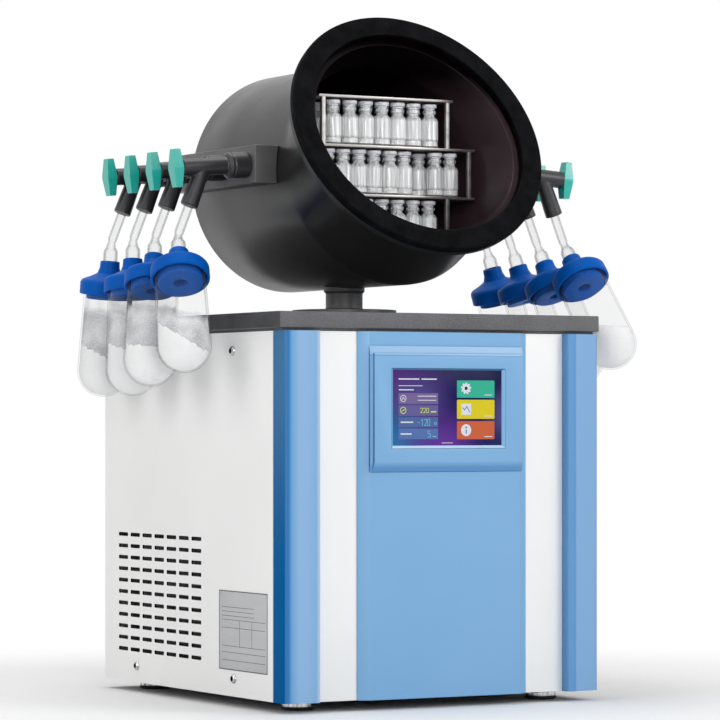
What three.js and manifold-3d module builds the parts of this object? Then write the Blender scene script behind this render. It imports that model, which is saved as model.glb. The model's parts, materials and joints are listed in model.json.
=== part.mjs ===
// Bench-top laboratory freeze dryer. A refrigerated cabinet with a touch display carries a drum-shaped
// vacuum chamber on a short column. A vial rack stands in the chamber, and a manifold bar on each side
// holds four rubber valves, each with a glass adapter, a rubber cap and a round-bottomed flask.
// Millimetres, +Z up. The front faces -Y. The origin is the middle of the bounding box, on the floor.
import * as THREE from "three";
import { ConvexGeometry } from "three/addons/geometries/ConvexGeometry.js";
import { mergeVertices } from "three/addons/utils/BufferGeometryUtils.js";
import Module from "manifold-3d";

const wasm = await Module();
wasm.setup();

const rad = THREE.MathUtils.degToRad;

// ---- Driving dimensions ----

// Clearance between fitted pieces, and between a turning piece and its seat.
const FIT = 0.3;

// Cabinet.
const CABINET_WIDTH = 450;
const CABINET_DEPTH = 495;
const CABINET_HEIGHT = 450;
const SHEET = 2;
const TRAY_LIP = 18;

// Feet.
const FOOT_RADIUS = 20.5;
const FOOT_HEIGHT = 13;
const FOOT_RIM = 2;
const FOOT_INSET_X = 49;
const FOOT_INSET_Y = 50;

// Corner posts: a faceted profile that stands proud of the front panel and wraps round to the side.
const POST_WIDTH = 48;
const POST_PROUD = 12;
const POST_OUTER_PROUD = 8;
const POST_RIDGE = 26;
const POST_INNER_CHAMFER = 4;
const POST_CORNER = 5;
const POST_WRAP = 22;

// Centre cover, the wide raised panel in the middle of the front.
const COVER_WIDTH = 243;
const COVER_PROUD = 10;
const COVER_CHAMFER = 13;

// Display: a raised bezel with a stepped edge, and the touch screen in its window.
const BEZEL_WIDTH = 220;
const BEZEL_HEIGHT = 155;
const BEZEL_TOP_DROP = 17;
const BEZEL_PROUD = 8;
const BEZEL_STEP = 9;
const BEZEL_CHAMFER = 13;
const WINDOW_WIDTH = 163;
const WINDOW_HEIGHT = 98;
const WINDOW_DROP = 28;
const SCREEN_RECESS = 1.5;
const SCREEN_GLASS = 4;
const MODULE_WIDTH = 140;
const MODULE_HEIGHT = 80;
const MODULE_DEPTH = 45;

// Ventilation slots in the left side panel.
const SLOT_COLUMNS = 7;
const SLOT_ROWS = 11;
const SLOT_LENGTH = 25;
const SLOT_HEIGHT = 5;
const SLOT_PITCH_Y = 35.3;
const SLOT_PITCH_Z = 15;
const SLOT_FIRST_FROM_BACK = 56;
const SLOT_LOWEST = 42;

// Rear panel: outlet slots, mains inlet, switch and vacuum port.
const OUTLET_SLOTS = 12;
const OUTLET_PITCH = 16;
const OUTLET_SLOT_WIDTH = 6;
const OUTLET_SLOT_HEIGHT = 150;
const OUTLET_LOWEST = 60;
const INLET_WIDTH = 28;
const INLET_HEIGHT = 22;
const INLET_FLANGE = 6;
const INLET_DEPTH = 20;
const INLET_RAISE = 60;
const INLET_OFFSET = 150;
const INLET_PIN_RADIUS = 1.6;
const SWITCH_WIDTH = 22;
const SWITCH_HEIGHT = 28;
const SWITCH_DEPTH = 16;
const SWITCH_GAP = 34;
const SWITCH_TILT = 8;
const SWITCH_PLAY = 1.6;
const PORT_RADIUS = 12.5;
const PORT_BORE = 10;
const PORT_LENGTH = 38;
const PORT_RIM_RADIUS = 20;
const PORT_RIM = 5;
const PORT_RAISE = 330;
const PORT_OFFSET = -140;

// Worktop: a thick black board with a recessed shadow gap under its edge.
const WORKTOP_THICKNESS = 20;
const WORKTOP_OVERHANG = 6;
const WORKTOP_CORNER = 7;
const SHADOW_GAP = 3.5;
const SHADOW_INSET = 1.5;
const PORT_HOLE_RADIUS = 30;

// Cold trap under the worktop, with its neck up to the column.
const TRAP_RADIUS = 85;
const TRAP_WALL = 3;
const TRAP_DEPTH = 230;
const TRAP_RIM_RADIUS = 100;
const TRAP_RIM = 6;
const NECK_RADIUS = 28;
const NECK_BORE = 22;

// Refrigeration.
const COMPRESSOR_RADIUS = 68;
const COMPRESSOR_HEIGHT = 150;
const COMPRESSOR_FROM_SIDE = 76;
const COMPRESSOR_FROM_BACK = 137.5;
const COIL_DEPTH = 40;
const COIL_WIDTH = 230;
const COIL_HEIGHT = 190;
const COIL_OFFSET = 16;
const FAN_RADIUS = 78;
const FAN_GAP = 26;
const FAN_BLADES = 5;
const FAN_HUB_RADIUS = 20;
const FAN_HUB_LENGTH = 20;
const FAN_BLADE_PITCH = 28;
const FAN_SHAFT_RADIUS = 4;
const MOTOR_RADIUS = 24;
const MOTOR_LENGTH = 34;

// Chamber: a horizontal drum, mitred to a short front section that tilts up to the mouth.
const DRUM_RADIUS = 144;
const DRUM_WALL = 6;
const DRUM_BACK_Y = 155;
const BEND_Y = -109;
const MOUTH_TILT = rad(29.5);
const MOUTH_LENGTH = 96.5;
const FLANGE_WIDTH = 27;
const FLANGE_THICKNESS = 8;
const GASKET_OVERHANG = 2;
const GASKET_STEP = 7;
const GASKET_THICKNESS = 12;
const GASKET_EDGE = 1.5;

// Column between the worktop and the drum.
const COLUMN_SHOWN = 38.5;
const COLUMN_RADIUS = 24;
const COLUMN_BORE = 19;
const COLUMN_FLANGE_RADIUS = 68;
const COLUMN_FLANGE = 10.5;

// Vial rack: shelves and posts of one welded frame, sized to the round chamber.
const RACK_FRONT_Y = -111;
const RACK_DEPTH = 211;
const SHELF_THICKNESS = 3;
const BASE_SHELF_HALF = 101.5;
const NARROW_SHELF_GAP = 0.8;
const WIDE_SHELF_GAP = 3;
const RACK_POST = 5;
const RACK_POST_INSET = 7;

// Manifold bars and valves.
const BAR_PROUD = 31;
const BAR_BITE = 8;
const BAR_HEIGHT = 48;
const BAR_RAISE = 7;
const BAR_FRONT_Y = { left: -84, right: -126 };
const VALVES_PER_SIDE = 4;
const VALVE_PITCH = 64;
const FIRST_VALVE = 22;
const VALVE_DROOP = rad(4.5);
const NIPPLE_RADIUS = 8.5;
const NIPPLE_LENGTH = 20;
const SOCKET_RADIUS = 16.5;
const SOCKET_LENGTH = 30;
const VALVE_RADIUS = 10.8;
const VALVE_LENGTH = 92;
const BRANCH_FROM_BAR = 62;
const BRANCH_ANGLE = rad(22);
const BRANCH_ROOT_RADIUS = 9.7;
const BRANCH_RADIUS = 11.3;
const BRANCH_LENGTH = 53;
const BRANCH_BORE_DEPTH = 22;
const KNOB_LENGTH = 48;
const KNOB_HUB_HALF = 9;
const KNOB_HUB_THICKNESS = 14;
const KNOB_HUB_FLAT = 2;
const KNOB_END_HALF = 6;
const KNOB_END_THICKNESS = 9;
const KNOB_STEM_RADIUS = 6;
const KNOB_STEM_LENGTH = 14;

// Glass adapter, rubber cap and flask. Heights run down the flask's axis from the top of the cap.
const TUBE_RADIUS = 6.35;
const TUBE_SHOWN = 41;
const WIDE_RADIUS = 9.3;
const WIDE_SHOWN = 24;
const CAP_NECK_RADIUS = 12.5;
const CAP_NECK = 15;
const CAP_SHOULDER = 27;
const CAP_SKIRT = 44;
const CAP_PLUG = 50;
const CAP_SEAT = 30;
const SKIRT_WALL = 4.2;
const SKIRT_GAP = 1.5;
const FLASK_MOUTH_RADIUS = 31.3;
const FLASK_FLARE = 2.7;
const FLASK_WALL = 2.2;
const FLASK_TAPER = 112;
const FLASK_HEIGHT = 146;

// The gap kept between neighbouring caps, and between the hanging flasks and the worktop.
const CAP_GAP = 1.2;
const WORKTOP_GAP = 6;

// How far the front flask leans forward in degrees, and how far each flask leans outward. The caps are
// wider than the valve pitch, so each flask behind the front one leans less and the row fans out.
const FRONT_LEAN = { left: 32, right: 38 };
const OUTWARD_LEANS = { left: [14, 12, 3.5, 1], right: [2, 7, 12, 17] };

// ---- Derived places ----

const HALF_WIDTH = CABINET_WIDTH / 2;
const FRONT_Y = -CABINET_DEPTH / 2;
const BACK_Y = CABINET_DEPTH / 2;
const FLOOR_Z = FOOT_HEIGHT;
const CABINET_TOP = FLOOR_Z + CABINET_HEIGHT;
const WORKTOP_TOP = CABINET_TOP + SHADOW_GAP + WORKTOP_THICKNESS;
const AXIS_Z = WORKTOP_TOP + COLUMN_SHOWN + DRUM_RADIUS;
const DRUM_INNER = DRUM_RADIUS - DRUM_WALL;
const FLANGE_RADIUS = DRUM_RADIUS + FLANGE_WIDTH;
const GASKET_OUTER = FLANGE_RADIUS + GASKET_OVERHANG;
const GASKET_INNER = DRUM_INNER + GASKET_STEP;

const FLASK_RADIUS = FLASK_MOUTH_RADIUS + FLASK_FLARE;
const CAP_RADIUS = FLASK_MOUTH_RADIUS + SKIRT_GAP + SKIRT_WALL;

// How far the adapter's bend lies outward of the bar's face, and the face's distance from the middle. The
// bars stand out far enough for the flasks to hang beside the worktop.
const BEND_REACH =
  BRANCH_FROM_BAR * Math.cos(VALVE_DROOP) + (BRANCH_LENGTH + TUBE_SHOWN) * Math.sin(BRANCH_ANGLE);
const BAR_OUTER = Math.max(
  DRUM_RADIUS + BAR_PROUD,
  HALF_WIDTH + WORKTOP_OVERHANG + WORKTOP_GAP + FLASK_RADIUS - BEND_REACH,
);
const BAR_ROOT = DRUM_RADIUS - BAR_BITE;
const BAR_LENGTH = 2 * FIRST_VALVE + (VALVES_PER_SIDE - 1) * VALVE_PITCH;
const BAR_Z = AXIS_Z + BAR_RAISE;

// The angle between neighbouring flasks that spreads their caps to clear each other.
const FAN_STEP = THREE.MathUtils.radToDeg(
  Math.asin((2 * CAP_RADIUS + CAP_GAP - VALVE_PITCH) / (WIDE_SHOWN + CAP_SHOULDER)),
);

// ---- Materials ----

const finish = (color, roughness, metalness = 0) =>
  new THREE.MeshStandardMaterial({ color, roughness, metalness });
const whitePaint = finish(0xf2f2f0, 0.45);
const bluePaint = finish(0x86b2db, 0.4);
const blackBoard = finish(0x3c3c3e, 0.6);
const blackPaint = finish(0x141315, 0.35);
const blackRubber = finish(0x17181a, 0.7);
const blueRubber = finish(0x144ba5, 0.55);
const greenPlastic = finish(0x3cb996, 0.4);
const clearGlass = finish(0xdfe6e6, 0.05);
const screenGlass = finish(0x1c2450, 0.15);
const darkMetal = finish(0x55585c, 0.4, 0.8);
const steel = finish(0xc8c8c6, 0.3, 1);
const coilMetal = finish(0xb4b6b8, 0.4, 1);
const blackPlastic = finish(0x202022, 0.5);

// ---- Shape helpers ----

// A closed three.js geometry as a solid, after an optional placing matrix.
function solid(geometry, matrix) {
  const bare = geometry.clone();
  bare.deleteAttribute("normal");
  bare.deleteAttribute("uv");
  if (matrix) bare.applyMatrix4(matrix);
  const merged = mergeVertices(bare, 1e-4);
  return new wasm.Manifold(
    new wasm.Mesh({
      numProp: 3,
      vertProperties: merged.attributes.position.array,
      triVerts: new Uint32Array(merged.index.array),
    }),
  );
}

function geometryOf(manifold) {
  const mesh = manifold.getMesh();
  const positions = new THREE.BufferAttribute(new Float32Array(mesh.vertProperties), 3);
  const indices = new THREE.BufferAttribute(new Uint32Array(mesh.triVerts), 1);
  const made = new THREE.BufferGeometry().setAttribute("position", positions).setIndex(indices);
  const flat = made.toNonIndexed();
  flat.computeVertexNormals();
  return flat;
}

const joined = (...parts) => parts.reduce((all, part) => all.add(part));
const moved = (x, y, z) => new THREE.Matrix4().makeTranslation(x, y, z);

// A box between two opposite corners.
function boxBetween(low, high) {
  const size = high.map((v, i) => v - low[i]);
  const middle = high.map((v, i) => (v + low[i]) / 2);
  return solid(new THREE.BoxGeometry(...size), moved(...middle));
}

// The matrix that sends +Z to a direction, with its start at a point.
function aimed(start, direction) {
  const turn = new THREE.Quaternion().setFromUnitVectors(
    new THREE.Vector3(0, 0, 1),
    direction.clone().normalize(),
  );
  return new THREE.Matrix4().compose(start, turn, new THREE.Vector3(1, 1, 1));
}

// A profile of [radius, height] points turned about +Z. It runs upwards along its outside.
function turned(profile, segments) {
  const points = profile.map(([r, h]) => new THREE.Vector2(r, h));
  return new THREE.LatheGeometry(points, segments).rotateX(Math.PI / 2);
}

// A disc or a plain cylinder from height 0 to a length.
const rod = (radius, length, segments) =>
  turned([[0, 0], [radius, 0], [radius, length], [0, length]], segments);

// A ring about +Z from height 0 to a length.
const sleeve = (outer, inner, length, segments) =>
  turned([[inner, 0], [outer, 0], [outer, length], [inner, length], [inner, 0]], segments);

// A flat outline of [x, y] points raised by a height along +Z.
function raised(outline, height) {
  const shape = new THREE.Shape(outline.map(([x, y]) => new THREE.Vector2(x, y)));
  return new THREE.ExtrudeGeometry(shape, { depth: height, bevelEnabled: false });
}

const freezeDryer = new THREE.Group();

function addMesh(name, geometry, material, parent = freezeDryer) {
  const mesh = new THREE.Mesh(geometry, material.clone());
  mesh.name = name;
  parent.add(mesh);
  return mesh;
}

const SIDES = [
  { name: "left", sign: -1 },
  { name: "right", sign: 1 },
];

// ---- Cabinet ----

// Base: a folded tray whose lips stand up inside the panels.
function baseTray() {
  const x = HALF_WIDTH - SHEET;
  const y = BACK_Y - SHEET;
  const outer = boxBetween([-x, -y, FLOOR_Z], [x, y, FLOOR_Z + TRAY_LIP]);
  const inner = boxBetween(
    [-x + SHEET, -y + SHEET, FLOOR_Z + SHEET],
    [x - SHEET, y - SHEET, FLOOR_Z + TRAY_LIP + 1],
  );
  return outer.subtract(inner);
}

// Side panel: flat sheet from the post to the back edge, with vent slots in the left one.
function sidePanel(sign, slotted) {
  const outside = sign * HALF_WIDTH;
  const inside = outside - sign * SHEET;
  const low = [Math.min(inside, outside), FRONT_Y + POST_WRAP + FIT, FLOOR_Z];
  const high = [Math.max(inside, outside), BACK_Y, CABINET_TOP];
  let panel = boxBetween(low, high);
  if (slotted)
    for (let column = 0; column < SLOT_COLUMNS; column++)
      for (let row = 0; row < SLOT_ROWS; row++) {
        const y = BACK_Y - SLOT_FIRST_FROM_BACK - column * SLOT_PITCH_Y;
        const z = FLOOR_Z + SLOT_LOWEST + row * SLOT_PITCH_Z;
        panel = panel.subtract(
          boxBetween(
            [low[0] - 1, y - SLOT_LENGTH / 2, z - SLOT_HEIGHT / 2],
            [high[0] + 1, y + SLOT_LENGTH / 2, z + SLOT_HEIGHT / 2],
          ),
        );
      }
  return panel;
}

// Rear panel: set between the sides, cut for the outlet slots, inlet, switch and vacuum port.
function rearPanel() {
  const x = HALF_WIDTH - SHEET - FIT;
  let panel = boxBetween([-x, BACK_Y - SHEET + FIT, FLOOR_Z], [x, BACK_Y, CABINET_TOP]);
  const hole = (cx, cz, w, h) =>
    boxBetween(
      [cx - w / 2, BACK_Y - SHEET - 1, cz - h / 2],
      [cx + w / 2, BACK_Y + 1, cz + h / 2],
    );
  for (let i = 0; i < OUTLET_SLOTS; i++) {
    const slotX = (i - (OUTLET_SLOTS - 1) / 2) * OUTLET_PITCH;
    const slotZ = FLOOR_Z + OUTLET_LOWEST + OUTLET_SLOT_HEIGHT / 2;
    panel = panel.subtract(hole(slotX, slotZ, OUTLET_SLOT_WIDTH, OUTLET_SLOT_HEIGHT));
  }
  const z = FLOOR_Z + INLET_RAISE;
  panel = panel.subtract(hole(INLET_OFFSET, z, INLET_WIDTH + 2 * FIT, INLET_HEIGHT + 2 * FIT));
  panel = panel.subtract(
    hole(INLET_OFFSET, z + SWITCH_GAP, SWITCH_WIDTH + 2 * FIT, SWITCH_HEIGHT + 2 * SWITCH_PLAY),
  );
  const port = solid(
    rod(PORT_RADIUS + FIT, SHEET + 4, 24),
    aimed(
      new THREE.Vector3(PORT_OFFSET, BACK_Y - SHEET - 2, FLOOR_Z + PORT_RAISE),
      new THREE.Vector3(0, 1, 0),
    ),
  );
  return panel.subtract(port);
}

// Front panel: the white sheet between the posts, with a window for the display module.
function frontPanel() {
  const x = HALF_WIDTH - POST_WIDTH - FIT;
  const sheet = boxBetween([-x, FRONT_Y, FLOOR_Z], [x, FRONT_Y + SHEET - FIT, CABINET_TOP]);
  return sheet.subtract(moduleOpening());
}

const WINDOW_Z = CABINET_TOP - BEZEL_TOP_DROP - WINDOW_DROP - WINDOW_HEIGHT / 2;

// The opening that the display module passes through in the front panel and the cover.
function moduleOpening() {
  const halfX = MODULE_WIDTH / 2 + FIT;
  const halfZ = MODULE_HEIGHT / 2 + FIT;
  return boxBetween(
    [-halfX, FRONT_Y - COVER_PROUD - 1, WINDOW_Z - halfZ],
    [halfX, FRONT_Y + SHEET + 1, WINDOW_Z + halfZ],
  );
}

// Centre cover: an extruded profile with a sloping chamfer down each long edge.
function centreCover() {
  const half = COVER_WIDTH / 2;
  const flat = half - COVER_CHAMFER;
  const outline = [
    [-half, FRONT_Y - FIT],
    [-half, FRONT_Y - FIT - 1],
    [-flat, FRONT_Y - COVER_PROUD],
    [flat, FRONT_Y - COVER_PROUD],
    [half, FRONT_Y - FIT - 1],
    [half, FRONT_Y - FIT],
  ];
  const bar = solid(raised(outline, CABINET_HEIGHT), moved(0, 0, FLOOR_Z));
  return bar.subtract(moduleOpening());
}

// Corner post: one extruded profile, drawn for the right side as [across, outward] and mirrored.
function cornerPost(sign) {
  const inner = HALF_WIDTH - POST_WIDTH;
  const ridge = HALF_WIDTH - POST_RIDGE;
  const outline = [
    [inner, FRONT_Y],
    [inner, FRONT_Y - POST_PROUD + POST_INNER_CHAMFER],
    [inner + POST_INNER_CHAMFER, FRONT_Y - POST_PROUD],
    [ridge, FRONT_Y - POST_PROUD],
    [HALF_WIDTH - POST_CORNER, FRONT_Y - POST_OUTER_PROUD],
    [HALF_WIDTH, FRONT_Y - POST_OUTER_PROUD + POST_CORNER],
    [HALF_WIDTH, FRONT_Y + POST_WRAP],
    [HALF_WIDTH - 2 * SHEET, FRONT_Y + POST_WRAP],
    [HALF_WIDTH - 2 * SHEET, FRONT_Y + SHEET],
    [inner, FRONT_Y + SHEET],
  ].map(([x, y]) => [sign * x, y]);
  if (sign > 0) outline.reverse();
  const tray = boxBetween(
    [-HALF_WIDTH + SHEET - FIT, -BACK_Y + SHEET - FIT, FLOOR_Z - 1],
    [HALF_WIDTH - SHEET + FIT, BACK_Y, FLOOR_Z + TRAY_LIP + FIT],
  );
  return solid(raised(outline, CABINET_HEIGHT), moved(0, 0, FLOOR_Z)).subtract(tray);
}

// Foot: a metal disc with a rubber base, turned as one piece.
const footGeometry = turned(
  [
    [0, 0],
    [FOOT_RADIUS - FOOT_RIM, 0],
    [FOOT_RADIUS, FOOT_RIM],
    [FOOT_RADIUS, FOOT_HEIGHT],
    [0, FOOT_HEIGHT],
  ],
  24,
);

// Display bezel: a raised frame with a stepped rim and a long chamfer under the window.
function displayBezel() {
  const front = FRONT_Y - COVER_PROUD - BEZEL_PROUD;
  const back = FRONT_Y - COVER_PROUD;
  const top = CABINET_TOP - BEZEL_TOP_DROP;
  const bottom = top - BEZEL_HEIGHT;
  const half = BEZEL_WIDTH / 2;
  const step = BEZEL_PROUD / 2;
  const rim = boxBetween([-half, front + step, bottom], [half, back, top]);
  const side = [
    [front, bottom + BEZEL_CHAMFER],
    [front, top - BEZEL_STEP],
    [back, top - BEZEL_STEP],
    [back, bottom],
    [front + step, bottom],
  ];
  const lie = new THREE.Matrix4().makeBasis(
    new THREE.Vector3(0, 1, 0),
    new THREE.Vector3(0, 0, 1),
    new THREE.Vector3(1, 0, 0),
  );
  const width = BEZEL_WIDTH - 2 * step;
  const pad = solid(raised(side.reverse(), width), moved(-width / 2, 0, 0).multiply(lie));
  const window = boxBetween(
    [-WINDOW_WIDTH / 2 - FIT, front - 1, WINDOW_Z - WINDOW_HEIGHT / 2 - FIT],
    [WINDOW_WIDTH / 2 + FIT, back + 1, WINDOW_Z + WINDOW_HEIGHT / 2 + FIT],
  );
  return joined(rim, pad).subtract(window);
}

// Touch display: glass in the bezel's window on a housing that passes through the front.
function touchDisplay() {
  const glassFront = FRONT_Y - COVER_PROUD - BEZEL_PROUD + SCREEN_RECESS;
  const glassBack = FRONT_Y - COVER_PROUD - FIT;
  const glass = boxBetween(
    [-WINDOW_WIDTH / 2, glassFront, WINDOW_Z - WINDOW_HEIGHT / 2],
    [WINDOW_WIDTH / 2, Math.max(glassFront + SCREEN_GLASS, glassBack), WINDOW_Z + WINDOW_HEIGHT / 2],
  );
  const housing = boxBetween(
    [-MODULE_WIDTH / 2, glassBack - 1, WINDOW_Z - MODULE_HEIGHT / 2],
    [MODULE_WIDTH / 2, FRONT_Y + MODULE_DEPTH, WINDOW_Z + MODULE_HEIGHT / 2],
  );
  return joined(glass, housing);
}

// A rectangle with rounded corners, as an outline.
function roundedRectangle(x0, y0, x1, y1, corner, steps = 5) {
  const centres = [
    [x1 - corner, y1 - corner, 0],
    [x0 + corner, y1 - corner, 90],
    [x0 + corner, y0 + corner, 180],
    [x1 - corner, y0 + corner, 270],
  ];
  return centres.flatMap(([x, y, start]) =>
    Array.from({ length: steps }, (_, i) => {
      const angle = rad(start + (90 * i) / (steps - 1));
      return [x + corner * Math.cos(angle), y + corner * Math.sin(angle)];
    }),
  );
}

// Worktop: a board over the cabinet, with a smaller layer beneath that leaves the shadow gap.
function worktop() {
  const x = HALF_WIDTH + WORKTOP_OVERHANG;
  const y = BACK_Y + WORKTOP_OVERHANG;
  const board = solid(
    raised(roundedRectangle(-x, -y, x, y, WORKTOP_CORNER), WORKTOP_THICKNESS),
    moved(0, 0, CABINET_TOP + SHADOW_GAP),
  );
  const layer = boxBetween(
    [-HALF_WIDTH + SHADOW_INSET, FRONT_Y + SHADOW_INSET, CABINET_TOP],
    [HALF_WIDTH - SHADOW_INSET, BACK_Y - SHADOW_INSET, CABINET_TOP + SHADOW_GAP + 1],
  );
  const hole = solid(rod(PORT_HOLE_RADIUS, WORKTOP_THICKNESS + 10, 32), moved(0, 0, CABINET_TOP - 3));
  return joined(board, layer).subtract(hole);
}

// Mains inlet: a socket body with a flange outside the rear panel and a recess with three pins.
function powerInlet() {
  const z = FLOOR_Z + INLET_RAISE;
  const half = [INLET_WIDTH / 2, INLET_HEIGHT / 2];
  const flange = boxBetween(
    [INLET_OFFSET - half[0] - INLET_FLANGE, BACK_Y + FIT, z - half[1] - INLET_FLANGE / 2],
    [INLET_OFFSET + half[0] + INLET_FLANGE, BACK_Y + 3, z + half[1] + INLET_FLANGE / 2],
  );
  const body = boxBetween(
    [INLET_OFFSET - half[0], BACK_Y - INLET_DEPTH, z - half[1]],
    [INLET_OFFSET + half[0], BACK_Y + 1, z + half[1]],
  );
  const recess = boxBetween(
    [INLET_OFFSET - half[0] + 3, BACK_Y - INLET_DEPTH + 4, z - half[1] + 3],
    [INLET_OFFSET + half[0] - 3, BACK_Y + 4, z + half[1] - 3],
  );
  const pins = [-7, 0, 7].map((x, i) =>
    solid(
      rod(INLET_PIN_RADIUS, INLET_DEPTH - 8, 8),
      aimed(
        new THREE.Vector3(INLET_OFFSET + x, BACK_Y - INLET_DEPTH + 2, z + (i === 1 ? 3 : -3)),
        new THREE.Vector3(0, 1, 0),
      ),
    ),
  );
  return joined(joined(flange, body).subtract(recess), ...pins);
}

// Power rocker: a wedge-faced rocker that turns about a crosswise pin in the rear panel.
const SWITCH_PIN_Z = FLOOR_Z + INLET_RAISE + SWITCH_GAP;
const SWITCH_PIN_Y = BACK_Y - 6;
function powerRocker() {
  const half = SWITCH_HEIGHT / 2;
  const rise = half * Math.tan(rad(SWITCH_TILT));
  const outline = [
    [-4, -half],
    [9 + rise, -half],
    [9, 0],
    [9 + rise, half],
    [-4, half],
    [4 - SWITCH_DEPTH, 0],
  ].reverse();
  const lie = new THREE.Matrix4().makeBasis(
    new THREE.Vector3(0, 1, 0),
    new THREE.Vector3(0, 0, 1),
    new THREE.Vector3(1, 0, 0),
  );
  const turn = new THREE.Matrix4().makeRotationX(rad(SWITCH_TILT));
  return solid(
    raised(outline, SWITCH_WIDTH),
    turn.multiply(moved(-SWITCH_WIDTH / 2, 0, 0)).multiply(lie),
  );
}

// Vacuum port: a small flanged pipe through the rear panel for the pump hose.
const vacuumPort = turned(
  [
    [PORT_BORE, 0],
    [PORT_RADIUS, 0],
    [PORT_RADIUS, PORT_LENGTH],
    [PORT_RIM_RADIUS, PORT_LENGTH + PORT_RIM],
    [PORT_RIM_RADIUS, PORT_LENGTH + 2 * PORT_RIM],
    [PORT_BORE, PORT_LENGTH + 2 * PORT_RIM],
    [PORT_BORE, 0],
  ],
  24,
);

function buildCabinet() {
  addMesh("base_tray", geometryOf(baseTray()), darkMetal);
  for (const { name, sign } of SIDES) {
    addMesh(`${name}_side_panel`, geometryOf(sidePanel(sign, name === "left")), whitePaint);
    addMesh(`${name}_front_post`, geometryOf(cornerPost(sign)), bluePaint);
    for (const [end, y] of [["front", FRONT_Y + FOOT_INSET_Y], ["rear", BACK_Y - FOOT_INSET_Y]])
      addMesh(`foot_${end}_${name}`, footGeometry, darkMetal).position.set(
        sign * (HALF_WIDTH - FOOT_INSET_X),
        y,
        0,
      );
  }
  addMesh("rear_panel", geometryOf(rearPanel()), whitePaint);
  addMesh("front_panel", geometryOf(frontPanel()), whitePaint);
  addMesh("centre_cover", geometryOf(centreCover()), bluePaint);
  addMesh("display_bezel", geometryOf(displayBezel()), bluePaint);
  addMesh("touch_display", geometryOf(touchDisplay()), screenGlass);
  addMesh("worktop", geometryOf(worktop()), blackBoard);
  addMesh("power_inlet", geometryOf(powerInlet()), blackPlastic);
  addMesh("power_rocker", geometryOf(powerRocker()), blackPlastic).position.set(
    INLET_OFFSET,
    SWITCH_PIN_Y,
    SWITCH_PIN_Z,
  );
  const port = addMesh("vacuum_port", vacuumPort, steel);
  port.position.set(PORT_OFFSET, BACK_Y - PORT_LENGTH / 2, FLOOR_Z + PORT_RAISE);
  port.rotation.x = -Math.PI / 2;
}

// ---- Cold trap and refrigeration ----

// Cold trap: a steel vessel hung under the worktop, with a neck up to the column's foot.
const TRAP_TOP = CABINET_TOP;
const coldTrap = turned(
  [
    [0, TRAP_TOP - TRAP_DEPTH],
    [TRAP_RADIUS, TRAP_TOP - TRAP_DEPTH],
    [TRAP_RADIUS, TRAP_TOP - TRAP_RIM],
    [TRAP_RIM_RADIUS, TRAP_TOP - TRAP_RIM],
    [TRAP_RIM_RADIUS, TRAP_TOP],
    [NECK_RADIUS, TRAP_TOP],
    [NECK_RADIUS, WORKTOP_TOP],
    [NECK_BORE, WORKTOP_TOP],
    [NECK_BORE, TRAP_TOP - TRAP_RIM],
    [TRAP_RADIUS - TRAP_WALL, TRAP_TOP - TRAP_RIM - 12],
    [TRAP_RADIUS - TRAP_WALL, TRAP_TOP - TRAP_DEPTH + TRAP_WALL],
    [0, TRAP_TOP - TRAP_DEPTH + TRAP_WALL],
  ],
  32,
);

// Compressor: a domed hermetic shell on a square foot, with two short pipe stubs.
function compressor() {
  const base = FLOOR_Z + SHEET;
  const foot = boxBetween(
    [-COMPRESSOR_RADIUS, -COMPRESSOR_RADIUS, 0],
    [COMPRESSOR_RADIUS, COMPRESSOR_RADIUS, 4],
  );
  const dome = COMPRESSOR_HEIGHT - 30;
  const shell = solid(
    turned(
      [
        [0, 2],
        [COMPRESSOR_RADIUS - 6, 2],
        [COMPRESSOR_RADIUS, 26],
        [COMPRESSOR_RADIUS, dome],
        [COMPRESSOR_RADIUS * 0.75, dome + 22],
        [0, dome + 30],
      ],
      28,
    ),
  );
  const stubs = [-14, 14].map((y) =>
    solid(rod(5, 34, 10), aimed(new THREE.Vector3(-50, y, 90), new THREE.Vector3(-1, 0, 0))),
  );
  return geometryOf(joined(foot, shell, ...stubs)).applyMatrix4(
    moved(HALF_WIDTH - COMPRESSOR_FROM_SIDE, BACK_Y - COMPRESSOR_FROM_BACK, base),
  );
}

// Condenser unit: the finned coil behind the side slots, with a bracket and motor for the fan.
const COIL_X = -HALF_WIDTH + SHEET + COIL_OFFSET;
const FAN_X = COIL_X + COIL_DEPTH + FAN_GAP;
const FAN_Y = BACK_Y - SLOT_FIRST_FROM_BACK - ((SLOT_COLUMNS - 1) / 2) * SLOT_PITCH_Y;
const FAN_Z = FLOOR_Z + SHEET + COIL_HEIGHT / 2;
function condenserUnit() {
  const half = COIL_WIDTH / 2;
  const base = FLOOR_Z + SHEET;
  const coil = boxBetween(
    [COIL_X, FAN_Y - half, base],
    [COIL_X + COIL_DEPTH, FAN_Y + half, base + COIL_HEIGHT],
  );
  const motorX = FAN_X + FAN_HUB_LENGTH / 2 + 4;
  const motor = solid(
    rod(MOTOR_RADIUS, MOTOR_LENGTH, 16),
    aimed(new THREE.Vector3(motorX, FAN_Y, FAN_Z), new THREE.Vector3(1, 0, 0)),
  );
  const shaft = solid(
    rod(FAN_SHAFT_RADIUS, FAN_HUB_LENGTH + 6, 12),
    aimed(new THREE.Vector3(motorX + 2, FAN_Y, FAN_Z), new THREE.Vector3(-1, 0, 0)),
  );
  const arm = boxBetween(
    [motorX + 6, FAN_Y - 8, base],
    [motorX + 12, FAN_Y + 8, FAN_Z],
  );
  const footPlate = boxBetween(
    [COIL_X + COIL_DEPTH - 2, FAN_Y - 8, base],
    [motorX + 12, FAN_Y + 8, base + 4],
  );
  return joined(coil, motor, shaft, arm, footPlate);
}

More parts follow.
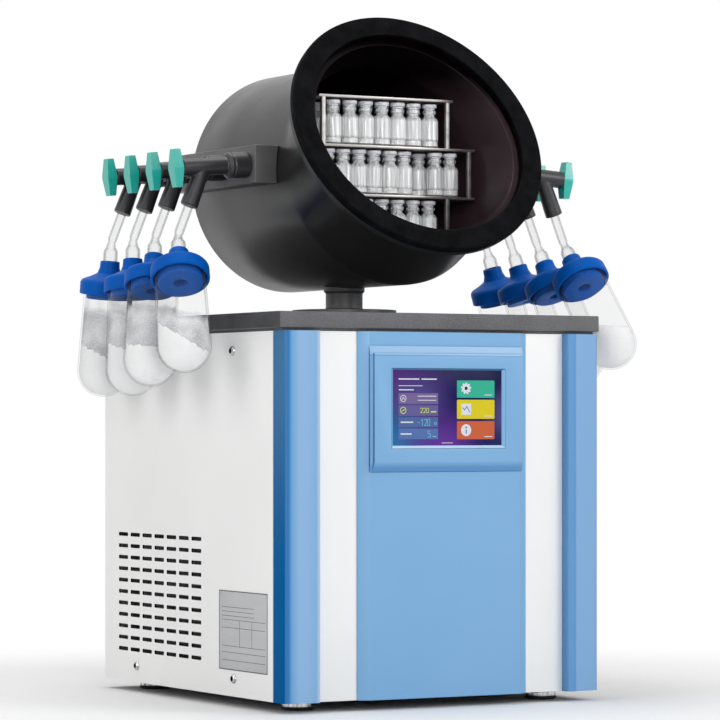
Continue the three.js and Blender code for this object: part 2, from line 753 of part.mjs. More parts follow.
// Fan: pitched blades on a hub that turns on the motor's shaft.
function condenserFan() {
  const bore = FAN_SHAFT_RADIUS + FIT;
  const hub = sleeve(FAN_HUB_RADIUS, bore, FAN_HUB_LENGTH, 20);
  let fan = solid(hub, moved(0, 0, -FAN_HUB_LENGTH / 2));
  const length = FAN_RADIUS - FAN_HUB_RADIUS + 6;
  for (let i = 0; i < FAN_BLADES; i++) {
    const place = new THREE.Matrix4()
      .makeRotationZ((i * 2 * Math.PI) / FAN_BLADES)
      .multiply(moved(FAN_RADIUS - length / 2, 0, 0))
      .multiply(new THREE.Matrix4().makeRotationX(rad(FAN_BLADE_PITCH)));
    fan = fan.add(solid(new THREE.BoxGeometry(length, 34, 2.4), place));
  }
  return fan;
}

function buildRefrigeration() {
  addMesh("cold_trap", coldTrap, steel);
  addMesh("compressor", compressor(), blackPaint);
  addMesh("condenser_unit", geometryOf(condenserUnit()), coilMetal);
  const fan = addMesh("condenser_fan", geometryOf(condenserFan()), blackPlastic);
  fan.position.set(FAN_X, FAN_Y, FAN_Z);
  fan.rotation.y = Math.PI / 2;
}

// ---- Chamber ----

// Directions of the mouth: straight out of it, and up its face.
const MOUTH_OUT = new THREE.Vector3(0, -Math.cos(MOUTH_TILT), Math.sin(MOUTH_TILT));
const MOUTH_UP = new THREE.Vector3(0, Math.sin(MOUTH_TILT), Math.cos(MOUTH_TILT));
const BEND = new THREE.Vector3(0, BEND_Y, AXIS_Z);
const FACE_TO_BEND = MOUTH_LENGTH - GASKET_THICKNESS - FIT;

// Rings of points round the drum. Each ring has one point for each of the same angles.
const DRUM_SEGMENTS = 64;
function drumRing(place) {
  return Array.from({ length: DRUM_SEGMENTS }, (_, i) => {
    const angle = (i * 2 * Math.PI) / DRUM_SEGMENTS;
    return place(Math.cos(angle), Math.sin(angle));
  });
}
const levelRing = (radius, y) =>
  drumRing((c, s) => new THREE.Vector3(radius * c, y, AXIS_Z + radius * s));
const mitreRing = (radius) =>
  drumRing((c, s) => {
    const lean = Math.tan(MOUTH_TILT / 2);
    return new THREE.Vector3(radius * c, BEND_Y + radius * s * lean, AXIS_Z + radius * s);
  });
const mouthRing = (radius, out) =>
  drumRing((c, s) =>
    BEND.clone()
      .addScaledVector(MOUTH_OUT, out)
      .add(new THREE.Vector3(radius * c, 0, 0))
      .addScaledVector(MOUTH_UP, radius * s),
  );

// A closed skin through rings, from the centre of the first to the centre of the last.
function skinThrough(rings) {
  const points = [];
  const faces = [];
  const middle = (ring) =>
    ring.reduce((sum, p) => sum.add(p), new THREE.Vector3()).divideScalar(ring.length);
  for (const ring of rings) points.push(...ring);
  const first = points.push(middle(rings[0])) - 1;
  const last = points.push(middle(rings[rings.length - 1])) - 1;
  const end = (rings.length - 1) * DRUM_SEGMENTS;
  for (let i = 0; i < DRUM_SEGMENTS; i++) {
    const next = (i + 1) % DRUM_SEGMENTS;
    faces.push(first, next, i, last, end + i, end + next);
    for (let r = 0; r < rings.length - 1; r++) {
      const a = r * DRUM_SEGMENTS;
      const b = a + DRUM_SEGMENTS;
      faces.push(a + i, b + next, b + i, a + i, a + next, b + next);
    }
  }
  return new THREE.BufferGeometry().setFromPoints(points).setIndex(faces);
}

// Drum shell: back plate, level drum, tilted front section and the flange round its mouth.
function drumShell() {
  const flangeBack = FACE_TO_BEND - FLANGE_THICKNESS;
  const skin = skinThrough([
    levelRing(DRUM_RADIUS, DRUM_BACK_Y),
    mitreRing(DRUM_RADIUS),
    mouthRing(DRUM_RADIUS, flangeBack),
    mouthRing(FLANGE_RADIUS, flangeBack),
    mouthRing(FLANGE_RADIUS, FACE_TO_BEND),
    mouthRing(DRUM_INNER, FACE_TO_BEND),
    mitreRing(DRUM_INNER),
    levelRing(DRUM_INNER, DRUM_BACK_Y - DRUM_WALL),
  ]);
  const drain = solid(rod(COLUMN_BORE, 2 * DRUM_WALL + 20, 24), moved(0, 0, AXIS_Z - DRUM_RADIUS - 8));
  return solid(skin).subtract(drain);
}

// Mouth gasket: a thick rubber ring that seals the mouth, with its edges eased.
const mouthGasket = turned(
  [
    [GASKET_INNER, 0],
    [GASKET_OUTER, 0],
    [GASKET_OUTER, GASKET_THICKNESS - GASKET_EDGE],
    [GASKET_OUTER - GASKET_EDGE, GASKET_THICKNESS],
    [GASKET_INNER, GASKET_THICKNESS],
    [GASKET_INNER, 0],
  ],
  DRUM_SEGMENTS,
);

// The drum's outside with its own facets, a clearance larger, to seat other pieces against.
function drumClearance() {
  const radius = DRUM_RADIUS + FIT;
  return solid(
    skinThrough([levelRing(radius, DRUM_BACK_Y + 20), mitreRing(radius), mouthRing(radius, 60)]),
  );
}

// Column: a flanged pipe whose top is cut to the round of the drum.
function drumColumn() {
  const foot = solid(rod(COLUMN_FLANGE_RADIUS, COLUMN_FLANGE, 40), moved(0, 0, WORKTOP_TOP + FIT));
  const pipe = solid(rod(COLUMN_RADIUS, COLUMN_SHOWN + 20, 32), moved(0, 0, WORKTOP_TOP + FIT));
  const bore = solid(rod(COLUMN_BORE, COLUMN_SHOWN + 40, 24), moved(0, 0, WORKTOP_TOP - 5));
  return joined(foot, pipe).subtract(bore).subtract(drumClearance());
}

// Vial rack: narrow shelves at top and bottom, wide shelves between, on four posts at each level. The
// lowest shelf rests on the drum's wall, and the others are spread evenly up to the same height above
// the drum's axis.
function vialRack() {
  const back = RACK_FRONT_Y + RACK_DEPTH;
  const reach = DRUM_INNER - FIT;
  const drop = Math.sqrt(reach * reach - BASE_SHELF_HALF * BASE_SHELF_HALF);
  const pitch = (2 * drop) / 3;
  const lowest = AXIS_Z - drop;
  const halfAt = (height, gap) => Math.sqrt(reach * reach - height * height) - gap;
  const top = halfAt(drop + SHELF_THICKNESS, NARROW_SHELF_GAP);
  const wide = halfAt(pitch / 2 + SHELF_THICKNESS, WIDE_SHELF_GAP);
  const shelves = [BASE_SHELF_HALF, wide, wide, top];
  const posts = [top, wide, top].map((half) => half - RACK_POST_INSET);
  const pieces = shelves.map((half, level) => {
    const z = lowest + level * pitch;
    return boxBetween([-half, RACK_FRONT_Y, z], [half, back, z + SHELF_THICKNESS]);
  });
  posts.forEach((half, level) => {
    const z = lowest + level * pitch;
    for (const x of [-half, half])
      for (const y of [RACK_FRONT_Y + 1, back - RACK_POST - 1])
        pieces.push(
          boxBetween(
            [x - RACK_POST / 2, y, z + 1],
            [x + RACK_POST / 2, y + RACK_POST, z + pitch + 1],
          ),
        );
  });
  return joined(...pieces);
}

function buildChamber() {
  addMesh("drum_shell", geometryOf(drumShell()), blackPaint);
  const gasket = addMesh("mouth_gasket", mouthGasket, blackRubber);
  gasket.position.copy(BEND).addScaledVector(MOUTH_OUT, FACE_TO_BEND + FIT);
  gasket.quaternion.setFromUnitVectors(new THREE.Vector3(0, 0, 1), MOUTH_OUT);
  addMesh("drum_column", geometryOf(drumColumn()), blackPaint);
  addMesh("vial_rack", geometryOf(vialRack()), steel);
}

// ---- Manifolds, valves and flasks ----

// Valve axis in a station's own frame, where +X points outward from the bar's face.
const VALVE_OUT = new THREE.Vector3(Math.cos(VALVE_DROOP), 0, -Math.sin(VALVE_DROOP));
const ORIGIN = new THREE.Vector3();

// Where each valve stands along its bar.
const valveY = (side, i) => BAR_FRONT_Y[side.name] + FIRST_VALVE + i * VALVE_PITCH;

// Manifold bar: a block seated on the drum's side, with one nipple for each valve.
function manifoldBar(side) {
  const { sign } = side;
  const front = BAR_FRONT_Y[side.name];
  const x = [sign * BAR_ROOT, sign * BAR_OUTER].sort((a, b) => a - b);
  const block = boxBetween(
    [x[0], front, BAR_Z - BAR_HEIGHT / 2],
    [x[1], front + BAR_LENGTH, BAR_Z + BAR_HEIGHT / 2],
  ).subtract(drumClearance());
  const out = VALVE_OUT.clone().multiply(new THREE.Vector3(sign, 1, 1));
  const nipples = Array.from({ length: VALVES_PER_SIDE }, (_, i) => {
    const root = new THREE.Vector3(sign * BAR_OUTER, valveY(side, i), BAR_Z).addScaledVector(out, -5);
    return solid(rod(NIPPLE_RADIUS, NIPPLE_LENGTH + 5, 12), aimed(root, out));
  });
  return joined(block, ...nipples);
}

// Valve body: socket, barrel and branch in one rubber moulding, bored at all three ends.
const BRANCH_ROOT = VALVE_OUT.clone().multiplyScalar(BRANCH_FROM_BAR);
const BRANCH_OUT = new THREE.Vector3(Math.sin(BRANCH_ANGLE), 0, -Math.cos(BRANCH_ANGLE));
const BRANCH_END = BRANCH_ROOT.clone().addScaledVector(BRANCH_OUT, BRANCH_LENGTH);
function valveBody() {
  const barrel = solid(
    turned(
      [
        [0, FIT + SOCKET_RADIUS * Math.tan(VALVE_DROOP)],
        [SOCKET_RADIUS, FIT + SOCKET_RADIUS * Math.tan(VALVE_DROOP)],
        [SOCKET_RADIUS, SOCKET_LENGTH - 3],
        [SOCKET_RADIUS - 3, SOCKET_LENGTH],
        [VALVE_RADIUS, SOCKET_LENGTH],
        [VALVE_RADIUS, VALVE_LENGTH],
        [0, VALVE_LENGTH],
      ],
      16,
    ),
    aimed(ORIGIN, VALVE_OUT),
  );
  const branch = solid(
    turned([[0, 0], [BRANCH_ROOT_RADIUS, 0], [BRANCH_RADIUS, BRANCH_LENGTH], [0, BRANCH_LENGTH]], 12),
    aimed(BRANCH_ROOT, BRANCH_OUT),
  );
  const socketBore = solid(
    rod(NIPPLE_RADIUS + FIT, NIPPLE_LENGTH + 6, 12),
    aimed(VALVE_OUT.clone().multiplyScalar(-5), VALVE_OUT),
  );
  const stemBore = solid(
    rod(KNOB_STEM_RADIUS + FIT, KNOB_STEM_LENGTH + 2, 12),
    aimed(
      VALVE_OUT.clone().multiplyScalar(VALVE_LENGTH - KNOB_STEM_LENGTH - 1),
      VALVE_OUT,
    ),
  );
  const branchBore = solid(
    rod(TUBE_RADIUS + FIT, BRANCH_BORE_DEPTH + 2, 10),
    aimed(BRANCH_END.clone().addScaledVector(BRANCH_OUT, -BRANCH_BORE_DEPTH), BRANCH_OUT),
  );
  return joined(barrel, branch).subtract(socketBore).subtract(stemBore).subtract(branchBore);
}

// Knob: a wing-shaped grip, wide and thick at its hub and tapering to both ends, on a round stem.
function valveKnob() {
  const end = KNOB_LENGTH / 2;
  const middle = FIT + KNOB_HUB_THICKNESS / 2;
  const corners = [];
  for (const [height, width, thickness] of [
    [KNOB_HUB_FLAT, KNOB_HUB_HALF, KNOB_HUB_THICKNESS],
    [end, KNOB_END_HALF, KNOB_END_THICKNESS],
  ])
    for (const x of [-width, width])
      for (const y of [-height, height])
        for (const z of [middle - thickness / 2, middle + thickness / 2]) corners.push(new THREE.Vector3(x, y, z));
  const grip = solid(new ConvexGeometry(corners));
  const stem = solid(rod(KNOB_STEM_RADIUS - FIT, KNOB_STEM_LENGTH + middle, 12), moved(0, 0, -KNOB_STEM_LENGTH));
  return joined(grip, stem);
}

// The direction of a flask's axis, from its cap down to its base, in its station's frame.
function flaskDirection(side, index) {
  const forward = rad(FRONT_LEAN[side.name] - index * FAN_STEP);
  const outward = rad(OUTWARD_LEANS[side.name][index]);
  return new THREE.Vector3(Math.tan(outward), -side.sign * Math.tan(forward), -1).normalize();
}

// Flask head: the bent glass adapter and the rubber cap on it, in the station's frame.
const ADAPTER_BEND = BRANCH_END.clone().addScaledVector(BRANCH_OUT, TUBE_SHOWN);
const TUBE_HELD = BRANCH_BORE_DEPTH - 2;
function flaskHead(direction) {
  const tube = solid(
    rod(TUBE_RADIUS - FIT, TUBE_HELD + TUBE_SHOWN, 10),
    aimed(BRANCH_END.clone().addScaledVector(BRANCH_OUT, -TUBE_HELD), BRANCH_OUT),
  );
  const wide = solid(
    turned(
      [
        [0, -5],
        [TUBE_RADIUS, -3],
        [WIDE_RADIUS, 5],
        [WIDE_RADIUS, WIDE_SHOWN + 3],
        [0, WIDE_SHOWN + 3],
      ],
      12,
    ),
    aimed(ADAPTER_BEND, direction),
  );
  const plug = FLASK_MOUTH_RADIUS - FLASK_WALL - 3 * FIT;
  const cap = solid(
    turned(
      [
        [0, 0],
        [CAP_NECK_RADIUS, 0],
        [CAP_NECK_RADIUS + 2, CAP_NECK],
        [CAP_RADIUS - 2, CAP_SHOULDER - 2],
        [CAP_RADIUS, CAP_SHOULDER],
        [CAP_RADIUS, CAP_SKIRT],
        [CAP_RADIUS - SKIRT_WALL, CAP_SKIRT],
        [CAP_RADIUS - SKIRT_WALL, CAP_SEAT],
        [plug, CAP_SEAT],
        [plug, CAP_PLUG],
        [0, CAP_PLUG],
      ].reverse().map(([r, h]) => [r, -h]),
      20,
    ),
    aimed(ADAPTER_BEND.clone().addScaledVector(direction, WIDE_SHOWN), direction.clone().negate()),
  );
  return joined(tube, wide, cap);
}

// Flask: a wide-mouthed glass vessel with a round bottom. Its mouth is at height 0 and it hangs down.
function flask() {
  const bottom = -FLASK_HEIGHT;
  const centre = bottom + FLASK_RADIUS;
  const inner = FLASK_RADIUS - FLASK_WALL;
  const arc = (radius, steps) =>
    Array.from({ length: steps + 1 }, (_, i) => {
      const angle = rad(-90 + (90 * i) / steps);
      return [radius * Math.cos(angle), centre + radius * Math.sin(angle)];
    });
  const outside = [...arc(FLASK_RADIUS, 4), [FLASK_MOUTH_RADIUS, 0]];
  const inside = [[FLASK_MOUTH_RADIUS - FLASK_WALL, 0], ...arc(inner, 3).reverse()];
  outside[0][0] = 0;
  inside[inside.length - 1][0] = 0;
  return turned([...outside, ...inside], 18);
}

function buildStations() {
  const body = geometryOf(valveBody());
  const knob = geometryOf(valveKnob());
  const glass = flask();
  for (const side of SIDES) {
    addMesh(`manifold_bar_${side.name}`, geometryOf(manifoldBar(side)), blackPlastic);
    for (let i = 0; i < VALVES_PER_SIDE; i++) {
      const label = `${side.name}_${i + 1}`;
      const station = new THREE.Group();
      station.position.set(side.sign * BAR_OUTER, valveY(side, i), BAR_Z);
      station.rotation.z = side.sign > 0 ? 0 : Math.PI;
      freezeDryer.add(station);
      addMesh(`valve_body_${label}`, body, blackRubber, station);
      const grip = addMesh(`valve_knob_${label}`, knob, greenPlastic, station);
      grip.position.copy(VALVE_OUT).multiplyScalar(VALVE_LENGTH);
      grip.rotation.set(0, Math.PI / 2 + VALVE_DROOP, 0);
      grip.rotateZ(Math.PI / 2);
      const direction = flaskDirection(side, i);
      addMesh(`flask_head_${label}`, geometryOf(flaskHead(direction)), blueRubber, station);
      const vessel = addMesh(`flask_${label}`, glass, clearGlass, station);
      vessel.position.copy(ADAPTER_BEND).addScaledVector(direction, WIDE_SHOWN + CAP_SEAT + FIT);
      vessel.quaternion.setFromUnitVectors(new THREE.Vector3(0, 0, -1), direction);
    }
  }
}

buildCabinet();
buildRefrigeration();
buildChamber();
buildStations();

// The origin goes to the middle of the whole machine's bounding box, at floor level.
freezeDryer.updateMatrixWorld(true);
const extent = new THREE.Box3().setFromObject(freezeDryer, true);
const middle = extent.getCenter(new THREE.Vector3());
freezeDryer.position.set(-middle.x, -middle.y, 0);

export default freezeDryer;
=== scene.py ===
import json
import math
import random

import bmesh
import bpy
from mathutils import Matrix, Vector, noise


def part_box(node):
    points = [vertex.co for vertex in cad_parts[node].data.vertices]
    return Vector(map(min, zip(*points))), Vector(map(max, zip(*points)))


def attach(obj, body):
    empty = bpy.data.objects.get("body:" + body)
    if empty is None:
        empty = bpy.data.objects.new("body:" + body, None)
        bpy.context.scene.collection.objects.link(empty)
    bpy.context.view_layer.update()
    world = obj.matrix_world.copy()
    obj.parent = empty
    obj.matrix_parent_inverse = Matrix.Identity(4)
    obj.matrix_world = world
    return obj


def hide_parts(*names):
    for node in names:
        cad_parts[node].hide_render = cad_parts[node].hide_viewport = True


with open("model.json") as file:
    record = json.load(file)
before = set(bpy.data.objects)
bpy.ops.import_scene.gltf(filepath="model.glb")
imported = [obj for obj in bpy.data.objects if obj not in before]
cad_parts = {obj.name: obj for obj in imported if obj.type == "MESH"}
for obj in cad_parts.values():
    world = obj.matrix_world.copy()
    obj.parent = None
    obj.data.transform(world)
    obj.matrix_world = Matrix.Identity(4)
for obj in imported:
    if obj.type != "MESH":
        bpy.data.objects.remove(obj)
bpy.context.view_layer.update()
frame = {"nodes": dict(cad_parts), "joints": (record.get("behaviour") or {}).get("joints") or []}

MM = 0.001
UP = Vector((0, 0, 1))

# ---- Feet ----
# Four levelling feet: a turned, plated metal disc on a short rubber base, each screwed up into the
# cabinet's floor.
LATHE_STEPS = 64


def shade(red, green, blue):
    """A colour in display values from 0 to 255, as the linear values that a shader takes."""

    def linear(value):
        value /= 255
        return value / 12.92 if value <= 0.04045 else ((value + 0.055) / 1.055) ** 2.4

    return (linear(red), linear(green), linear(blue), 1.0)


def fill(tree, made, inputs):
    """Sets or links the inputs of one of a tree's nodes."""
    for key, value in inputs.items():
        if isinstance(value, bpy.types.NodeSocket):
            tree.links.new(value, made.inputs[key])
        else:
            made.inputs[key].default_value = value


def step(tree, kind, inputs, **settings):
    """One node of a tree with its settings, its inputs set or linked."""
    made = tree.nodes.new(kind)
    for key, value in settings.items():
        setattr(made, key, value)
    fill(tree, made, inputs)
    return made


def node(material, kind, inputs, **settings):
    """One shader node of a material."""
    return step(material.node_tree, "ShaderNode" + kind, inputs, **settings)


def set_shader(material, sockets):
    """Sets or links sockets of the material's own shader."""
    tree = material.node_tree
    fill(tree, tree.nodes["Principled BSDF"], sockets)


def blank_finish(name, sockets):
    """A new material with some of its shader's sockets set."""
    material = bpy.data.materials.new(name)
    material.use_nodes = True
    set_shader(material, sockets)
    return material


def ramp(material, value, start, end, low=0.0, high=1.0, kind="LINEAR"):
    """A value that goes from low to high as another goes from start to end."""
    limits = {"From Min": start, "From Max": end, "To Min": low, "To Max": high}
    return node(material, "MapRange", {"Value": value, **limits},
                interpolation_type=kind).outputs["Result"]


def spread(material, source, low, high, start=0.35, end=0.65):
    """Spreads the middle of a noise over low to high."""
    return ramp(material, source, start, end, low, high)


def between(material, amount, first, second):
    """The colour that lies between two others by an amount."""
    mix = node(material, "Mix", {0: amount, 6: first, 7: second}, data_type="RGBA")
    return mix.outputs[2]


def space_of(material, stretch=(1, 1, 1)):
    """The place on the object, in metres."""
    place = node(material, "TexCoord", {}).outputs["Object"]
    return node(material, "Mapping", {"Vector": place, "Scale": stretch}).outputs["Vector"]


def patches(material, space, size, detail=3.0):
    """Noise with patches of that size in millimetres."""
    settings = {"Vector": space, "Scale": 1 / (size * MM), "Detail": detail}
    return node(material, "TexNoise", settings).outputs["Fac"]


def grain(material, space, size, height):
    """The bumps of a fine grain, size and height in millimetres."""
    bumps = patches(material, space, size, 2.0)
    return node(material, "Bump", {"Height": bumps, "Strength": 1.0,
                                   "Distance": height * MM}).outputs["Normal"]


def finish(name, dark, light, mottle, gloss, grain_size, height, stretch=(1, 1, 1), **sockets):
    """A finish that drifts between two shades and two roughnesses, under a fine grain."""
    material = blank_finish(name, {key.replace("_", " ").title().replace("Ior", "IOR"): value
                                   for key, value in sockets.items()})
    space = space_of(material, stretch)
    drift = patches(material, space, mottle)
    tone = between(material, spread(material, drift, 0, 1), dark, light)
    rough = spread(material, patches(material, space, mottle / 3), *gloss)
    bumps = grain(material, space, grain_size, height)
    set_shader(material, {"Base Color": tone, "Roughness": rough, "Normal": bumps})
    return material


def object_of(name, data):
    """An object in the scene."""
    thing = bpy.data.objects.new(name, data)
    bpy.context.scene.collection.objects.link(thing)
    return thing


def shown(name, mesh, material, sharp=35, merge=1e-6, outward=True):
    """A finished piece of the object, with its doubles merged and its faces outward."""
    work = bmesh.new()
    work.from_mesh(mesh)
    bmesh.ops.remove_doubles(work, verts=work.verts, dist=merge)
    if outward:
        bmesh.ops.recalc_face_normals(work, faces=work.faces)
    work.to_mesh(mesh)
    work.free()
    mesh.materials.clear()
    mesh.materials.append(material)
    mesh.shade_smooth()
    mesh.set_sharp_from_angle(angle=math.radians(sharp))
    return object_of(name, mesh)


def mesh_of(shape, name="shape"):
    """The mesh of a shape, which is a list of points and a list of faces."""
    mesh = bpy.data.meshes.new(name)
    mesh.from_pydata([tuple(p) for p in shape[0]], [], shape[1])
    return mesh


def built(name, shape, material, sharp=35):
    """A piece in a shape."""
    return shown(name, mesh_of(shape, name), material, sharp)


def turned(profile, steps=LATHE_STEPS, ring=False):
    """A profile of (radius, height) turned about +Z. A ring's last point meets its first. A radius
    may be a function of the angle."""
    points, faces, rows = [], [], []
    for radius, height in profile:
        if radius == 0:
            rows.append([len(points)] * steps)
            points.append(Vector((0, 0, height)))
            continue
        rows.append([len(points) + i for i in range(steps)])
        for i in range(steps):
            angle = math.tau * i / steps
            reach = radius(angle) if callable(radius) else radius
            points.append(Vector((reach * math.cos(angle), reach * math.sin(angle), height)))
    for low, high in zip(rows, rows[1:] + ([rows[0]] if ring else [])):
        for i in range(steps):
            j = (i + 1) % steps
            face = list(dict.fromkeys((low[i], low[j], high[j], high[i])))
            if len(face) > 2:
                faces.append(face)
    return points, faces


def eased(outline, ease, loop=False, steps=3):
    """An outline whose corners are rounded over that length of the lines they join."""
    out = []
    corners = [Vector(p) for p in outline]
    for i, corner in enumerate(corners):
        if not loop and i in (0, len(corners) - 1):
            out.append(tuple(corner))
            continue
        before = corners[i - 1] - corner
        after = corners[(i + 1) % len(corners)] - corner
        start = corner + before.normalized() * min(ease, before.length * 0.45)
        end = corner + after.normalized() * min(ease, after.length * 0.45)
        for k in range(steps + 1):
            t = k / steps
            point = start * (1 - t) ** 2 + corner * 2 * t * (1 - t) + end * t * t
            out.append(tuple(point))
    return out


def aimed(origin, axis):
    """The place whose +Z lies along an axis."""
    turn = Vector(axis).to_track_quat("Z", "Y").to_matrix().to_4x4()
    return Matrix.Translation(Vector(origin)) @ turn


def moved(shape, place):
    """A shape put somewhere by a matrix."""
    return [place @ Vector(p) for p in shape[0]], shape[1]


def together(*shapes):
    """Several shapes as one."""
    points, faces = [], []
    for part_points, part_faces in shapes:
        start = len(points)
        points += part_points
        faces += [[start + v for v in face] for face in part_faces]
    return points, faces


def fixed(piece, slot, *nodes, body="body"):
    """The piece rides on a body and stands for CAD nodes, which are hidden. The slot is not used.
    """
    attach(piece, body)
    if nodes:
        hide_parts(*nodes)
    return piece


# The plated discs' dark and light vertical streaks are painted reflections.
plated = finish("plated_metal_painted_reflections", shade(112, 113, 116), shade(224, 224, 227), 6, (0.08, 0.16), 0.5,
                0.01, stretch=(1, 1, 0.15), metallic=1.0)
foot_rubber = finish("foot_rubber", shade(26, 26, 28), shade(44, 44, 46), 6, (0.6, 0.8), 0.6, 0.08)
for corner in ("front_left", "front_right", "rear_left", "rear_right"):
    low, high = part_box("foot_" + corner)
    middle = Matrix.Translation(((low.x + high.x) / 2, (low.y + high.y) / 2, 0))
    radius, top = (high.x - low.x) / 2, high.z
    base_top = 3.4 * MM
    base = [(0, 0), (radius - 3 * MM, 0), (radius, 2 * MM), (radius, base_top), (0, base_top)]
    base = eased(base, 0.8 * MM)
    fixed(built(f"foot_base_{corner}", moved(turned(base), middle), foot_rubber), "black_rubber",
          "foot_" + corner)
    rim = [(0, base_top), (radius - 1.4 * MM, base_top), (radius - 0.8 * MM, base_top + 1.2 * MM),
           (radius - 1.2 * MM, top - 1.4 * MM), (radius - 2.2 * MM, top), (0, top)]
    disc = turned(eased(rim, 0.6 * MM), 22)
    fixed(built(f"foot_disc_{corner}", moved(disc, middle), plated, 12), "dark_metal",
          "foot_" + corner)

# ---- Cabinet floor ----
# The base tray is one steel sheet, folded and dip painted. Its lips stand up inside the panels, and
# the feet are screwed into its floor.


def ease_edges(work, ease, sharp=35, steps=2):
    """Bevels the sharp edges of an opened mesh."""
    edges = [e for e in work.edges
             if e.is_manifold and e.calc_face_angle(0) > math.radians(sharp)]
    bmesh.ops.bevel(work, geom=edges, offset=ease, segments=steps, profile=0.5, affect="EDGES",
                    clamp_overlap=True)


def eased_copy(name, source, material, ease, sharp=35, steps=2, merge=2e-6):
    """A piece in the shape of a CAD node, merged, with its edges eased."""
    mesh = frame["nodes"][source].data.copy()
    work = bmesh.new()
    work.from_mesh(mesh)
    bmesh.ops.remove_doubles(work, verts=work.verts, dist=merge)
    bmesh.ops.dissolve_limit(work, angle_limit=math.radians(0.5), verts=work.verts,
                             edges=work.edges)
    if ease:
        ease_edges(work, ease, sharp, steps)
    work.to_mesh(mesh)
    work.free()
    return shown(name, mesh, material, sharp)


def copied(name, source, material, ease, slot, sharp=35, steps=2, body="body"):
    """An eased copy of a CAD node that stands for it, its ease in millimetres."""
    piece = eased_copy(name, source, material, ease * MM, sharp, steps)
    return fixed(piece, slot, source, body=body)


dull_metal = finish("dull_metal", shade(96, 99, 103), shade(122, 124, 128), 30, (0.4, 0.6), 1.2,
                    0.02, metallic=0.8)
copied("cabinet_floor", "base_tray", dull_metal, 0.5, "dark_metal")

# ---- Side panels ----
# Two flat steel sheets with a white powder coat, each held by four screws. The left one is punched
# with rows of slots that let air in to the condenser.


def tree_named(name, **sockets):
    """An empty tree of geometry nodes with named inputs."""
    tree = bpy.data.node_groups.new(name, "GeometryNodeTree")
    tree.interface.new_socket("Geometry", in_out="OUTPUT", socket_type="NodeSocketGeometry")
    tree.interface.new_socket("Places", in_out="INPUT", socket_type="NodeSocketGeometry")
    for key, kind in sockets.items():
        label = key.replace("_", " ").title()
        tree.interface.new_socket(label, in_out="INPUT", socket_type="NodeSocket" + kind)
    return tree


def close_tree(tree, geometry, material):
    """Ends a tree with its instances made real and its material set."""
    real = step(tree, "GeometryNodeRealizeInstances", {"Geometry": geometry})
    painted = step(tree, "GeometryNodeSetMaterial",
                   {"Geometry": real.outputs[0], "Material": material})
    out = step(tree, "NodeGroupOutput", {})
    tree.links.new(painted.outputs[0], out.inputs[0])


def final_mesh(thing):
    """The plain mesh that an object's modifiers make."""
    depsgraph = bpy.context.evaluated_depsgraph_get()
    return bpy.data.meshes.new_from_object(thing.evaluated_get(depsgraph))


def grown(tree, values, places=None):
    """The plain mesh that a tree makes from these values."""
    seed = object_of("seed", places or bpy.data.meshes.new("seed"))
    modifier = seed.modifiers.new("grow", "NODES")
    modifier.node_group = tree
    for socket in tree.interface.items_tree:
        if socket.in_out == "INPUT" and socket.name in values:
            modifier[socket.identifier] = values[socket.name]
    mesh = final_mesh(seed)
    seed.modifiers.remove(modifier)
    bpy.data.objects.remove(seed)
    return mesh


# A sheet in the XY plane, punched with a grid of round-cornered slots. The grid's centre is given
# from the sheet's middle.
sheet_tree = tree_named(
    "punched_sheet", width="Float", height="Float", thickness="Float", slot_length="Float",
    slot_height="Float", slot_corner="Float", columns="Int", rows="Int", grid_width="Float",
    grid_height="Float", grid_centre="Vector", paint="Material")
given = step(sheet_tree, "NodeGroupInput", {}).outputs
edge = step(sheet_tree, "GeometryNodeCurvePrimitiveQuadrilateral",
            {"Width": given["Width"], "Height": given["Height"]})
slot_line = step(sheet_tree, "GeometryNodeCurvePrimitiveQuadrilateral",
                 {"Width": given["Slot Length"], "Height": given["Slot Height"]})
slot_line = step(sheet_tree, "GeometryNodeFilletCurve",
                 {"Curve": slot_line.outputs[0], "Count": 4, "Radius": given["Slot Corner"]},
                 mode="POLY")
grid = step(sheet_tree, "GeometryNodeMeshGrid",
            {"Size X": given["Grid Width"], "Size Y": given["Grid Height"],
             "Vertices X": given["Columns"], "Vertices Y": given["Rows"]})
grid = step(sheet_tree, "GeometryNodeTransform",
            {"Geometry": grid.outputs[0], "Translation": given["Grid Centre"]})
slots = step(sheet_tree, "GeometryNodeInstanceOnPoints",
             {"Points": grid.outputs[0], "Instance": slot_line.outputs[0]})
slots = step(sheet_tree, "GeometryNodeRealizeInstances", {"Geometry": slots.outputs[0]})
lines = step(sheet_tree, "GeometryNodeJoinGeometry", {})
sheet_tree.links.new(edge.outputs[0], lines.inputs[0])
sheet_tree.links.new(slots.outputs[0], lines.inputs[0])
face = step(sheet_tree, "GeometryNodeFillCurve", {"Curve": lines.outputs[0]}, mode="TRIANGLES")
lift = step(sheet_tree, "GeometryNodeExtrudeMesh",
            {"Mesh": face.outputs[0], "Offset Scale": given["Thickness"], "Individual": False})
under = step(sheet_tree, "GeometryNodeFlipFaces", {"Mesh": face.outputs[0]})
closed = step(sheet_tree, "GeometryNodeJoinGeometry", {})
sheet_tree.links.new(lift.outputs[0], closed.inputs[0])
sheet_tree.links.new(under.outputs[0], closed.inputs[0])
welded = step(sheet_tree, "GeometryNodeMergeByDistance",
              {"Geometry": closed.outputs[0], "Distance": 0.01 * MM})
close_tree(sheet_tree, welded.outputs[0], given["Paint"])

